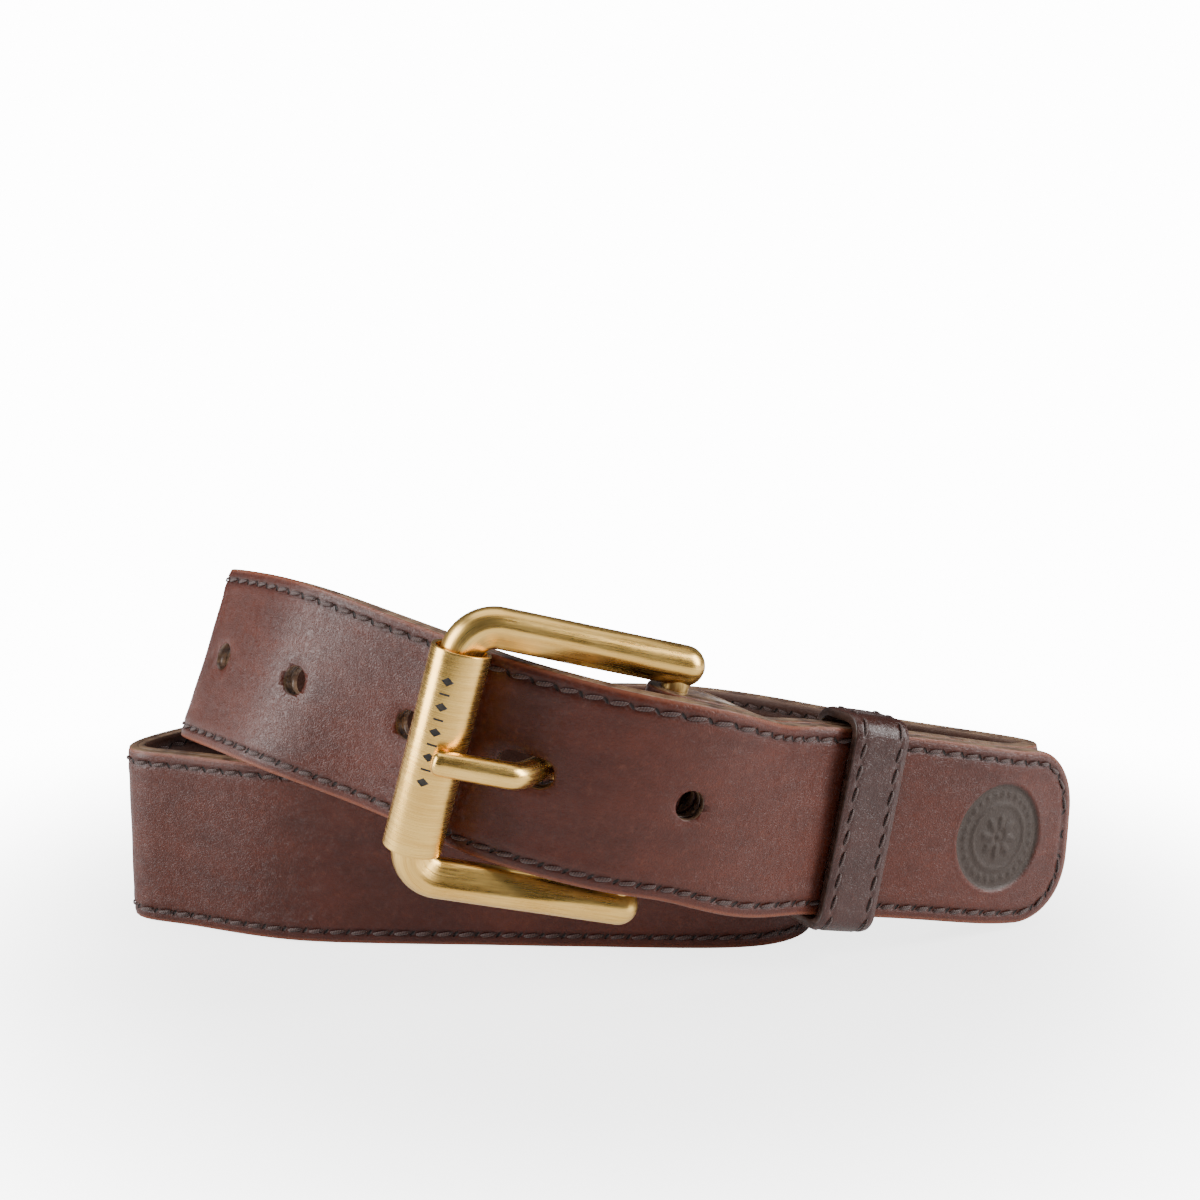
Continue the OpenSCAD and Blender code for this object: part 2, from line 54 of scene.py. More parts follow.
KEEPER_AT, KEEPER_W, KEEPER_T, KEEPER_GAP, KEEPER_R = 79.0, 11.6, 1.9, 1.0, 2.2
KEEPER_ROW = 1.9            # a keeper stitch row, from the keeper's edge
MEDAL_R, MEDAL_IN = 10.5, 19.5
TURN_BACK = 22.0
UP = np.array([0.0, 0.0, 1.0])
COIL_MID = np.array([0.2, 44.2, 0.0])


def unit(v):
    """Each vector over its own length."""
    v = np.asarray(v, float)
    return v / np.linalg.norm(v, axis=-1, keepdims=True)


def smooth(t):
    """3t^2 - 2t^3 on t held between 0 and 1."""
    t = np.clip(t, 0, 1)
    return t * t * (3 - 2 * t)


# --- The strap's route ------------------------------------------------------------------------------------
def plan_normal(d):
    """The plan direction turned a quarter to the right, which is where the grain face looks."""
    return unit(np.array([d[1], -d[0], 0.0]))


heading, dip, lean = np.deg2rad([15.2, 12.0, 4.8])
BUCKLE_X = np.array([np.cos(heading) * np.cos(dip), np.sin(heading) * np.cos(dip), -np.sin(dip)])
_side = plan_normal(BUCKLE_X)
_lift = UP * np.cos(lean) + _side * np.sin(lean)
BUCKLE_Y = unit(_lift - (_lift @ BUCKLE_X) * BUCKLE_X)
BUCKLE_Z = np.cross(BUCKLE_X, BUCKLE_Y)
ROLLER_AT = np.array([-26.4, -6.1, STRAP_W * ROLLER_UP]) - COIL_MID
REACH_ROLLER = ROLLER_D / 2 + RUN_GAP + STRAP_T / 2
FOLD_R = PIVOT_D / 2 + FOLD_GAP
REACH_BAR = FOLD_R + GRAIN_T + LAYER_GAP + STRAP_T / 2

PAST_BUCKLE = [[-0.25, -2.85 * REACH_ROLLER], [0.01, -1.62 * REACH_ROLLER], [0.23, -0.34 * REACH_ROLLER],
               [0.50, 0.43 * REACH_BAR], [0.86, 1.07 * REACH_BAR], [1.22, 0.97 * REACH_BAR]]
TIP_PLAN = [[27.7, 6.9, 0.37, 2], [36.7, 15.1, 0.33, 0], [47.1, 20.3, 0.25, -1], [60.3, 25.3, 0.18, -1],
            [72.5, 30.8, 0.09, 0], [83, 36.8, 0.02, 1], [93, 43.6, 0, 1], [103.4, 50.3, 0, 0]]
COIL_PLAN = [[88.5, 47.5, 0, 0], [75, 57, 0, 0], [55, 71.5, 0, 0], [37, 90, 0, 0], [18, 102, 0, 0], [-4, 102, 0, 0],
             [-27, 94, 0, 0], [-50, 82.5, 0, 0], [-72, 70, 0, 0], [-87, 54, 0, 0], [-93.6, 38.4, 0, 0],
             [-79.5, 36.5, 0, 0], [-60, 27, 0, 0], [-35, 26.5, 0, 0], [-10, 25.8, 0, 0], [13, 25.1, 0, 0],
             [31, 25, 0, 0], [41, 33, 0, 0], [41, 47, 0, 0], [31, 59.5, 0.04, 0], [14, 67, 0.12, 0], [-8, 69, 0.25, 0],
             [-30, 67.5, 0.44, -2], [-51, 63, 0.68, -5], [-70, 55.5, 0.90, -11], [-78.5, 46, 1.02, -20],
             [-69.2, 35.5, 1.04, -21], [-57, 19, 1.06, -17]]


def laid(plan):
    """Plan points [x, y, lower edge in strap widths, lean] as [place, direction across the strap]."""
    plan = np.array(plan, float)
    out = []
    for i, (x, y, h, a) in enumerate(plan):
        step = plan[min(i + 1, len(plan) - 1)] - plan[max(i - 1, 0)]
        a = np.deg2rad(a)
        place = np.array([x, y, STRAP_W * (0.5 + h)]) - COIL_MID
        out.append((place, UP * np.cos(a) + plan_normal(step) * np.sin(a)))
    return out


def route():
    """Control points of the strap's middle and of its across direction: the buckle end one layer behind the
    tip end, then the coil, then past the buckle to the tip."""
    past = [(ROLLER_AT + BUCKLE_X * (a * BAR_SPAN) + BUCKLE_Z * o, BUCKLE_Y) for a, o in PAST_BUCKLE]
    tip = past + laid(TIP_PLAN)
    under = []
    for i in range(3, len(tip) - 2):
        n = unit(np.cross(unit(tip[i + 1][0] - tip[i - 1][0]), tip[i][1]))
        under.append((tip[i][0] - n * LAYER_PITCH, tip[i][1]))
    points = under + laid(COIL_PLAN) + tip
    return np.array([p[0] for p in points]), np.array([p[1] for p in points]), len(points) - len(tip)


CONTROL, CONTROL_UP, FIRST_TIP = route()
SPANS = len(CONTROL) - 3


def strap_frames(u):
    """Uniform cubic B-spline through the control points: middle, along, across and outward at each
    parameter."""
    u = np.atleast_1d(np.asarray(u, float))
    i = np.clip(np.floor(u).astype(int), 0, SPANS - 1)
    t = (u - i)[:, None]
    w = [(1 - t) ** 3, 3 * t ** 3 - 6 * t ** 2 + 4, -3 * t ** 3 + 3 * t ** 2 + 3 * t + 1, t ** 3]
    d = [-(1 - t) ** 2, 3 * t ** 2 - 4 * t, -3 * t ** 2 + 2 * t + 1, t ** 2]
    mid = sum(w[k] * CONTROL[i + k] for k in range(4)) / 6
    along = unit(sum(d[k] * CONTROL[i + k] for k in range(4)))
    lift = sum(w[k] * CONTROL_UP[i + k] for k in range(4))
    across = unit(lift - (lift * along).sum(1, keepdims=True) * along)
    return mid, along, across, np.cross(along, across)


GRID = np.arange(SPANS * 8 + 1) / 8
_places = strap_frames(GRID)[0]
LENGTHS = np.r_[0, np.cumsum(np.linalg.norm(np.diff(_places, axis=0), axis=1))]
_near = (GRID > FIRST_TIP - 1) & (GRID < FIRST_TIP + 3)
_gap = np.where(_near, np.linalg.norm(np.cross(_places - ROLLER_AT, BUCKLE_Y), axis=1), 1e9)
ROLLER_S = LENGTHS[np.argmin(_gap)]
GRAIN_IN = STRAP_T / 2 - GRAIN_T
LINING_OUT = GRAIN_IN - GLUE


def station(s):
    """Strap frames at distances s along the strap from the roller."""
    return strap_frames(np.interp(np.asarray(s, float) + ROLLER_S, LENGTHS, GRID))


_u = np.arange(0, 4.01, 0.02)
_mid, _, _, _out = strap_frames(_u)
_held = ((_mid + _out * (GRAIN_IN - FOLD_R) - ROLLER_AT) @ BUCKLE_X) >= BAR_SPAN
START_U = _u[np.argmax(_held)]
START_S = np.interp(START_U, GRID, LENGTHS) - ROLLER_S
START = [f[0] for f in strap_frames(START_U)]
BAR_C = START[0] + START[3] * (GRAIN_IN - FOLD_R)
BAR_Y = START[2]

# --- The buckle's own axes: X from the roller to the pivot bar, Y along the bar, Z out of its face --------
HOLE = [f[0] for f in station(USED_HOLE)]
_to = ROLLER_AT - BAR_C
BAR_X = -unit(_to - (_to @ BAR_Y) * BAR_Y)
BAR_Z = np.cross(BAR_X, BAR_Y)
BUCKLE_O = BAR_C + BAR_Y * ((HOLE[0] - BAR_C) @ BAR_Y)


def in_buckle(p):
    """Points of the buckle's own axes in the model's frame, in metres."""
    p = np.asarray(p, float)
    return (BUCKLE_O + p[..., :1] * BAR_X + p[..., 1:2] * BAR_Y + p[..., 2:] * BAR_Z) * MM


# --- Mesh making ------------------------------------------------------------------------------------------
def solid_volume(points, faces):
    """Six times the volume inside the faces: each is a fan of triangles, and each triangle adds a dot (b
    cross c)."""
    total = 0.0
    for size in {len(f) for f in faces}:
        ring = points[np.array([f for f in faces if len(f) == size])]
        first = ring[:, :1]
        total += np.sum(first * np.cross(ring[:, 1:-1], ring[:, 2:]))
    return total


def make_mesh(name, points, faces, uvs=None, tints=None, marks=None):
    """A mesh object from arrays: points in metres, quads or polygons, a dictionary of UV maps by point, face
    material numbers."""
    points = points.reshape(-1, 3)
    if solid_volume(points, faces) < 0:
        faces = [list(f)[::-1] for f in faces]
    mesh = bpy.data.meshes.new(name)
    mesh.from_pydata(points, [], faces)
    mesh.polygons.foreach_set("use_smooth", np.ones(len(mesh.polygons), bool))
    corner = np.empty(len(mesh.loops), np.int32)
    mesh.loops.foreach_get("vertex_index", corner)
    for key, uv in (uvs or {}).items():
        layer = mesh.uv_layers.new(name=key)
        layer.data.foreach_set("uv", uv.reshape(-1, 2)[corner].astype(np.float32).ravel())
    if marks is not None:
        mesh.polygons.foreach_set("material_index", np.asarray(marks, np.int32))
    obj = bpy.data.objects.new(name, mesh)
    bpy.context.scene.collection.objects.link(obj)
    for paint in tints or []:
        mesh.materials.append(paint)
    return obj


def grid_faces(m, n, wrap_n=True, wrap_m=False):
    """Quads of an m by n grid of points, closed round the second index, and round the first if asked."""
    i = np.arange(m if wrap_m else m - 1)[:, None]
    j = np.arange(n if wrap_n else n - 1)[None, :]
    a, b = i * n + j, i * n + (j + 1) % n
    c, d = ((i + 1) % m) * n + (j + 1) % n, ((i + 1) % m) * n + j
    return np.stack([a, d, c, b], -1).reshape(-1, 4)


def tube(name, rings, uvs=None, tints=None, marks=None):
    """A closed skin over rings of points: quads between neighbouring rings and a flat face at each end."""
    m, n = rings.shape[:2]
    faces = grid_faces(m, n).tolist() + [list(range(n)), list(range((m - 1) * n, m * n))[::-1]]
    if marks is not None:
        marks = np.r_[np.tile(marks, m - 1), [1, 1]]
    return make_mesh(name, rings, faces, uvs, tints, marks)


def cut(obj, cutter):
    """Takes the cutter's solid away from obj and keeps the result as obj's mesh."""
    bpy.context.view_layer.update()
    tool = obj.modifiers.new("holes", "BOOLEAN")
    tool.operation, tool.solver, tool.object = "DIFFERENCE", "MANIFOLD", cutter
    tool.material_mode = "INDEX"
    made = bpy.data.meshes.new_from_object(obj.evaluated_get(bpy.context.evaluated_depsgraph_get()))
    obj.modifiers.clear()
    obj.data = made
    bpy.data.objects.remove(cutter)


# --- Shader maths -----------------------------------------------------------------------------------------
class Num:
    """A socket that adds Math nodes when it is used in an expression."""
    def __init__(self, paint, socket):
        self.paint, self.socket = paint, socket

    def math(self, kind, *rest):
        return self.paint.node("ShaderNodeMath", {"operation": kind}, self, *rest)

    def __add__(self, other): return self.math("ADD", other)
    def __radd__(self, other): return self.math("ADD", other)
    def __mul__(self, other): return self.math("MULTIPLY", other)
    def __rmul__(self, other): return self.math("MULTIPLY", other)
    def __sub__(self, other): return self.math("SUBTRACT", other)
    def __rsub__(self, other): return self.paint.node("ShaderNodeMath", {"operation": "SUBTRACT"}, other, self)
    def __truediv__(self, other): return self.math("DIVIDE", other)
    def __pow__(self, other): return self.math("POWER", other)
    def held(self): return self.paint.node("ShaderNodeClamp", {}, self, 0.0, 1.0)
    def low(self, other): return self.math("MINIMUM", other)
    def top(self, other): return self.math("MAXIMUM", other)
    def size(self): return self.math("ABSOLUTE")

    def between(self, a, b):
        """0 below a, 1 above b, smooth in between."""
        return self.paint.node("ShaderNodeMapRange", {"interpolation_type": "SMOOTHSTEP"}, self, a, b, 0.0, 1.0)


class Paint:
    """One material. node() adds any node from its type, its settings and its sockets' values or links."""
    def __init__(self, name, **surface):
        self.material = bpy.data.materials.new(name)
        self.material.use_nodes = True
        self.tree = self.material.node_tree
        self.bsdf = self.tree.nodes["Principled BSDF"]
        for key, value in surface.items():
            self.give(key.replace("_", " ").title().replace("Ior", "IOR"), value)

    def put(self, socket, value):
        if isinstance(value, Num):
            self.tree.links.new(value.socket, socket)
        else:
            socket.default_value = value

    def give(self, socket, value):
        self.put(self.bsdf.inputs[socket], value)

    def node(self, kind, settings, *values, out=0, **named):
        made = self.tree.nodes.new(kind)
        for key, value in settings.items():
            setattr(made, key, value)
        for k, value in enumerate(values):
            if value is not None:
                self.put(made.inputs[k], value)
        for key, value in named.items():
            self.put(made.inputs[key.replace("_", " ")], value)
        return Num(self, made.outputs[out])

    def blend(self, share, a, b):
        """The colour a turning into b as share goes from 0 to 1."""
        a, b = [(*c, 1.0) if isinstance(c, tuple) else c for c in (a, b)]
        unused = [None] * 5
        return self.node("ShaderNodeMix", {"data_type": "RGBA"}, share, *unused, a, b, out=2)

    def place(self):
        return self.node("ShaderNodeTexCoord", {}, out=3)

    def stretched(self, scale):
        return self.node("ShaderNodeMapping", {}, self.place(), Scale=scale)

    def uv(self, name):
        """The two numbers of the piece's own UV map."""
        pair = self.node("ShaderNodeUVMap", {"uv_map": name})
        cut_up = self.tree.nodes.new("ShaderNodeSeparateXYZ")
        self.put(cut_up.inputs[0], pair)
        return Num(self, cut_up.outputs[0]), Num(self, cut_up.outputs[1]), pair

    def noise(self, scale, detail=2.0, rough=0.5, where=None):
        where = where or self.place()
        return self.node("ShaderNodeTexNoise", {}, where, Scale=scale, Detail=detail, Roughness=rough)

    def cells(self, scale, feature="F1", where=None):
        return self.node("ShaderNodeTexVoronoi", {"feature": feature}, where or self.place(), Scale=scale)

    def bump(self, height, depth, strength=1.0, under=None):
        made = self.tree.nodes.new("ShaderNodeBump")
        made.inputs["Strength"].default_value = strength
        made.inputs["Distance"].default_value = depth
        self.put(made.inputs["Height"], height)
        if under is not None:
            self.put(made.inputs["Normal"], under)
        return Num(self, made.outputs[0])


def leather_grain(paint, fine=1500.0):
    """Height of the leather's grain: small cells with soft creases, pores, and a slow unevenness."""
    where = paint.noise(260.0, 2.0)
    bent = paint.node("ShaderNodeMix", {"data_type": "VECTOR"}, 0.006, None, None, None, paint.place(),
                      paint.node("ShaderNodeTexNoise", {}, paint.place(), Scale=420.0, Detail=2.0, out=1), out=1)
    crease = paint.cells(fine, "DISTANCE_TO_EDGE", bent).between(0.0, 0.22)
    pores = paint.cells(fine * 0.62, "F1", bent).between(0.05, 0.22)
    return crease * 0.55 + pores * 0.25 + paint.noise(fine * 1.7, 3.0, 0.6) * 0.35 + where * 0.25


def stitched_leather(name, dark, mid, light, rough, coat, rows=True, worn=0.5, medal=False):
    """Aniline leather: mottled brown, lighter where it is burnished, with a fine grain whose low creases are darkened
    as painted shade. Where the piece has a stitch map, painted shade puts dark slanted holes on the stitch line and
    darkens the leather beside it, and a painted highlight lightens the rounded shoulder outside the row."""
    paint = Paint(name, coat_roughness=0.32, specular_ior_level=0.34)
    grain = leather_grain(paint)
    cloud = paint.noise(22.0, 4.0, 0.55)
    streak = paint.noise(90.0, 4.0, 0.6, paint.stretched((1.0, 1.0, 2.6)))
    tone = (cloud * 0.55 + streak * 0.45).between(0.22, 0.80)
    colour = paint.blend(tone, dark, mid)
    fleck = paint.noise(700.0, 3.0, 0.65).between(0.52, 0.75)
    colour = paint.blend(fleck * 0.22 * worn, colour, light)
    # Painted shade: the grain's low creases are darkened according to the grain's height.
    colour = paint.blend((1 - grain.between(0.35, 0.75)) * 0.38, colour, tuple(0.55 * c for c in dark))
    roughness = rough + grain.between(0.3, 0.9) * -0.10 + cloud * 0.12
    height = grain * 1.0
    normal = paint.bump(height, 0.00011, 0.55)
    if rows:
        run, off, _ = paint.uv("stitch")
        far = off.size()
        turns = run * (1 / STITCH_PITCH) + off * 0.16 + 200.0
        phase = paint.node("ShaderNodeMath", {"operation": "FRACT"}, turns)
        x = (phase - 0.5) * STITCH_PITCH
        pit = 1 - ((x * x * 5.5 + off * off * 2.1) ** 0.5).between(0.42, 0.95)
        line = 1 - far.between(0.25, 1.25)
        rim = far.between(1.35, 2.0) * (1 - far.between(2.0, 2.6)) * off.between(0.0, 0.2)
        # Painted shade: the leather along the stitch groove is darkened.
        colour = paint.blend(line * 0.5, colour, tuple(0.5 * c for c in dark))
        # Painted shade: the stitch holes are coloured near black.
        colour = paint.blend(pit, colour, (0.010, 0.004, 0.003))
        # Painted highlight: a light band along the rounded shoulder between the stitch row and the edge.
        colour = paint.blend(rim * 0.55, colour, light)
        roughness = roughness + pit * 0.3
        normal = paint.bump(1 - pit, 0.0006, 0.9, normal)
    if medal:
        s, v, _ = paint.uv("strap")
        away = ((s - (TIP_REACH - MEDAL_IN) * MM) ** 2.0 + v * v) ** 0.5
        ground = 1 - away.between((MEDAL_R - 0.5) * MM, (MEDAL_R + 0.1) * MM)
        colour = paint.blend(ground * 0.9, colour, (0.040, 0.029, 0.021))
        roughness = roughness + ground * 0.18
    paint.give("Base Color", colour)
    paint.give("Roughness", roughness.held())
    paint.give("Coat Weight", cloud.between(0.2, 0.8) * coat)
    paint.give("Normal", normal)
    return paint.material


def cut_leather(name, core, rim):
    """Burnished cut edge: layered fibres along the edge, waxed and slightly uneven."""
    paint = Paint(name, roughness=0.42, coat_weight=0.25, coat_roughness=0.3)
    fibre = paint.noise(900.0, 4.0, 0.65, paint.stretched((0.25, 0.25, 1.0)))
    cloud = paint.noise(120.0, 3.0)
    paint.give("Base Color", paint.blend((fibre * 0.7 + cloud * 0.3).between(0.35, 0.65), core, rim))
    paint.give("Normal", paint.bump(fibre, 0.0002, 0.5))
    return paint.material


def waxed_thread(name, shade, light):
    """Twisted thread: slanted plies across the stitch, by its own UV map, with painted shade in the grooves between
    plies and painted highlight on their crowns.
    """
    paint = Paint(name, roughness=0.5, specular_ior_level=0.4, sheen_weight=0.2)
    u, v, _ = paint.uv("thread")
    ply = paint.node("ShaderNodeMath", {"operation": "SINE"}, (u * 2.2 + v) * 12.566) * 0.5 + 0.5
    # Painted shade and highlight: the colour runs from shade in the ply grooves to light on the ply crowns.
    paint.give("Base Color", paint.blend(ply * 0.7 + paint.noise(900.0, 2.0) * 0.3, shade, light))
    paint.give("Normal", paint.bump(ply, 0.00008, 0.6))
    return paint.material


def brushed_brass(name, scale_u, scale_v, rough=0.30, light=(0.95, 0.62, 0.19), dark=(0.66, 0.37, 0.085)):
    """Antique brass: fine brush lines along one way of the piece's own UV map, darker in the lines and in
    patches."""
    paint = Paint(name, metallic=1.0, specular_ior_level=0.5)
    _, _, pair = paint.uv("metal")
    lines = paint.noise(1.0, 4.0, 0.7, paint.node("ShaderNodeMapping", {}, pair, Scale=(scale_u, scale_v, 1.0)))
    wider = paint.node("ShaderNodeMapping", {}, pair, Scale=(scale_u * 0.25, scale_v * 0.25, 1.0))
    broad = paint.noise(1.0, 3.0, 0.6, wider)
    cloud = paint.noise(75.0, 4.0, 0.6)
    pits = 1 - paint.cells(1400.0).between(0.03, 0.10)
    tone = (lines * 0.5 + broad * 0.3 + cloud * 0.4).between(0.38, 0.78)
    colour = paint.blend(tone, dark, light)
    colour = paint.blend(pits * cloud.between(0.5, 0.6) * 0.35, colour, (0.22, 0.13, 0.05))
    paint.give("Base Color", colour)
    paint.give("Roughness", (rough + (lines - 0.5) * 0.30 + (cloud - 0.5) * 0.16).held())
    paint.give("Normal", paint.bump(lines * 0.7 + broad * 0.3, 0.000035, 0.55, paint.bump(cloud, 0.0002, 0.12)))
    return paint.material


def plain_brass(name):
    """Brass of the pieces that keep their CAD mesh: brush lines in the model's own coordinates."""
    paint = Paint(name, metallic=1.0)
    lines = paint.noise(1500.0, 3.0, 0.7, paint.stretched((1.0, 1.0, 0.06)))
    paint.give("Base Color", paint.blend(lines.between(0.3, 0.7), (0.58, 0.35, 0.11), (0.90, 0.61, 0.24)))
    paint.give("Roughness", 0.26 + lines * 0.16)
    paint.give("Normal", paint.bump(lines, 0.00004, 0.5))
    return paint.material


def drawn_wire(name):
    """Steel wire with faint drawing marks."""
    paint = Paint(name, metallic=1.0)
    marks = paint.noise(2200.0, 3.0, 0.6)
    paint.give("Base Color", paint.blend(marks, (0.42, 0.40, 0.37), (0.62, 0.60, 0.56)))
    paint.give("Roughness", 0.22 + marks * 0.2)
    return paint.material


GRAIN = stitched_leather("grain_leather", (0.044, 0.0066, 0.0022), (0.108, 0.0195, 0.0072),
                         (0.28, 0.085, 0.040), 0.38, 0.14, medal=True)
LINING = stitched_leather("lining_leather", (0.046, 0.014, 0.007), (0.085, 0.029, 0.015),
                          (0.20, 0.11, 0.075), 0.55, 0.06)
KEEPER = stitched_leather("keeper_leather", (0.028, 0.0060, 0.0032), (0.062, 0.015, 0.0085),
                          (0.22, 0.09, 0.055), 0.32, 0.5, rows=False)
EDGE = cut_leather("cut_edge", (0.062, 0.026, 0.015), (0.25, 0.15, 0.085))
KEEPER_EDGE = cut_leather("keeper_cut_edge", (0.022, 0.009, 0.006), (0.075, 0.036, 0.025))
THREAD = waxed_thread("waxed_thread", (0.018, 0.007, 0.0055), (0.085, 0.036, 0.028))


# --- The strap --------------------------------------------------------------------------------------------
def half_width(d):
    """Half the strap's width at a distance d from the tip: full, then a quarter circle at each corner."""
    d = np.clip(d, 0, TIP_R)
    return STRAP_W / 2 - (TIP_R - np.sqrt(np.maximum(TIP_R ** 2 - (TIP_R - d) ** 2, 0)))


def strap_stations(step, fine):
    """Stations along the strap from the fold to the tip: even steps, closer over the pressed mark and, by a
    cosine, towards the rounded tip."""
    mark = TIP_REACH - MEDAL_IN
    even = np.arange(START_S + 0.3, mark - 12, step)
    near = np.arange(mark - 12, mark + 10.6, fine)
    left = TIP_REACH - near[-1]
    end = near[-1] + left * np.sin(np.linspace(0, np.pi / 2, 22)[1:])
    return np.r_[even, near, end]


def stitch_map(s, v):
    """(distance along the stitch path, distance inside it) of strap points: the path runs up the upper
    edge, round the tip's two corners and back along the lower edge."""
    row = STRAP_W / 2 - STITCH_IN
    r = TIP_R - STITCH_IN
    corner_s = TIP_REACH - TIP_R
    ds, dv = s - corner_s, np.abs(v) - (row - r)
    ang = np.arctan2(np.maximum(ds, 0), np.maximum(dv, 1e-6))
    in_corner = (ds > 0) & (dv > 0)
    beyond = (ds > 0) & (dv <= 0)
    round_tip = corner_s + np.pi / 2 * r + (row - r - np.abs(v))
    run = np.where(in_corner, corner_s + ang * r, np.where(beyond, round_tip, s))
    off = np.where(in_corner, np.hypot(ds, dv) - r, np.where(beyond, ds - r, np.abs(v) - row))
    return run, off


def pressed_mark(s, v):
    """Height of the pressed mark in mm: a sunk disc with a bevelled wall, a fine ring, a ring of beads
    outside it and an eight-petalled rosette inside it left standing."""
    x, y = s - (TIP_REACH - MEDAL_IN), v
    r, a = np.hypot(x, y), np.arctan2(y, x)
    sunk = -0.5 * smooth((MEDAL_R - r) / 0.55)
    lip = 0.08 * np.exp(-((r - MEDAL_R - 0.35) / 0.4) ** 2)
    ring = 0.30 * smooth(1 - np.abs(r - 6.35) / 0.5)
    bead_a = (a / (2 * np.pi) * 28) % 1 - 0.5
    beads = 0.28 * smooth(1.35 - np.hypot((r - 8.35), bead_a * 2 * np.pi * 8.35 / 28) / 0.5)
    petal_r = 4.6 * np.abs(np.cos(4 * a)) ** 0.55
    rosette = 0.32 * smooth((petal_r - r) / 0.7) * smooth((r - 1.25) / 0.35)
    heart = 0.32 * smooth((0.85 - r) / 0.3)
    return sunk + lip + ring + beads + rosette + heart


def hole_dish(s, v):
    """Leather drawn down a little round each punched hole: a narrow bell of the distance from the rim."""
    out = np.zeros_like(s)
    for k in HOLES:
        c = USED_HOLE + k * HOLE_PITCH
        pull = HOLE_PULL if k == 0 else 0.0
        x = np.where(s > c, s - c, np.where(s < c - pull, s - c + pull, 0.0))
        rim = np.hypot(x, v) - HOLE_D / 2
        out -= 0.28 * np.exp(-(np.maximum(rim, 0) / 0.75) ** 2)
    return out


def grain_face(s, v):
    """Height of the grain face in mm: a stitch groove, a rounded shoulder outside it, the holes' dishes,
    the pressed mark and a slow handmade unevenness."""
    _, off = stitch_map(s, v)
    groove = -0.20 * np.exp(-(off / 0.55) ** 2)
    shoulder = -0.30 * smooth((off - 0.7) / 1.6)
    swell = 0.10 * np.exp(-((off + 1.7) / 1.1) ** 2)
    hand = (0.05 * np.sin(s * 0.21 + 1.3 * np.sin(v * 0.17)) * np.sin(s * 0.083 + 2.0)
            + 0.03 * np.sin(v * 0.5 + s * 0.11))
    return groove + shoulder + swell + hand + hole_dish(s, v) + pressed_mark(s, v) - 0.06


def strap_layer(name, s, cols, low, high, face, outer, tints, frames=None, lead=None):
    """One layer of the strap: at each station a ring runs over the shown face from edge to edge, round its
    two rounded corners, down the cut edges and back over the hidden face."""
    frames = station(s) if frames is None else frames
    h = half_width(TIP_REACH - s)[:, None]
    q = np.sin(np.linspace(-1, 1, cols) * np.pi / 2 * 0.86) / np.sin(np.pi / 2 * 0.86)
    r = 0.42
    v = q[None, :] * (h - r)
    ss = np.broadcast_to(s[:, None], v.shape)
    top = face(ss, v)
    if lead is not None:
        top = top * lead[:, None]
    turn = np.linspace(0, np.pi / 2, 5)[1:]
    thick = high - low
    rim_v = r * np.sin(turn)
    rim_z = r * (np.cos(turn) - 1)
    up_v, up_z = (h - r) + rim_v[None, :], top[:, -1:] + rim_z[None, :]
    low_v, low_z = -(h - r) - rim_v[None, :], top[:, :1] + rim_z[None, :]
    back_v = np.concatenate([h, h - 0.05, -(h - 0.05), -h], 1)
    back_z = np.tile([[0.15 - thick, -thick, -thick, 0.15 - thick]], (len(s), 1))
    vv = np.concatenate([v, up_v, back_v, low_v[:, ::-1]], 1)
    zz = np.concatenate([top, up_z, back_z, low_z[:, ::-1]], 1)
    n = vv.shape[1]
    mid, _, across, out = frames
    side = out if outer else -out
    base = (high if outer else -low)
    pts = mid[:, None] + across[:, None] * vv[..., None] + side[:, None] * (base + zz)[..., None]
    if not outer:
        pts, vv, zz = pts[:, ::-1], vv[:, ::-1], zz[:, ::-1]
    run, off = stitch_map(np.broadcast_to(s[:, None], vv.shape), vv)
    uvs = {"strap": np.stack([np.broadcast_to(s[:, None], vv.shape) * MM, vv * MM], -1),
           "stitch": np.stack([run, off], -1)}
    marks = np.ones(n, int)
    marks[:cols - 1] = 0
    marks[cols - 1:cols + 1] = 0
    marks[-3:] = 0
    if not outer:
        marks = np.roll(marks[::-1], -1)
    return tube(name, pts * MM, uvs, tints, marks)


def hole_cutter():
    """Punches through the strap: a stadium prism at each hole, the one in use drawn out towards the roller,
    and a box at the fold for the prong's eye."""
    points, faces, n = [], [], 40
    for k in HOLES:
        mid, along, across, out = [f[0] for f in station(USED_HOLE + k * HOLE_PITCH)]
        a = np.arange(n) * 2 * np.pi / n + np.pi / n
        x, y = HOLE_D / 2 * np.cos(a), HOLE_D / 2 * np.sin(a)
        x = np.where(x < 0, x - (HOLE_PULL if k == 0 else 0.0), x)
        ring = mid + along * x[:, None] + across * y[:, None]
        base = len(points) * n
        points += [ring - out * 5, ring + out * 5]
        lo, hi = base + np.arange(n), base + n + np.arange(n)
        faces += [list(lo[::-1]), list(hi)]
        faces += [[lo[j], lo[(j + 1) % n], hi[(j + 1) % n], hi[j]] for j in range(n)]
    pts = np.concatenate(points) * MM
    box = np.array([[x, y, z] for x in (-9.2, 4.7) for y in (-3.0, 3.0) for z in (-4.65, 4.65)])
    start = len(pts)
    pts = np.concatenate([pts, in_buckle(box)])
    sides = [0, 1, 3, 2], [4, 6, 7, 5], [0, 4, 5, 1], [2, 3, 7, 6], [0, 2, 6, 4], [1, 5, 7, 3]
    faces += [[start + k for k in f] for f in sides]
    return make_mesh("punch", pts, [[int(k) for k in f] for f in faces], None, [GRAIN, EDGE], [1] * len(faces))


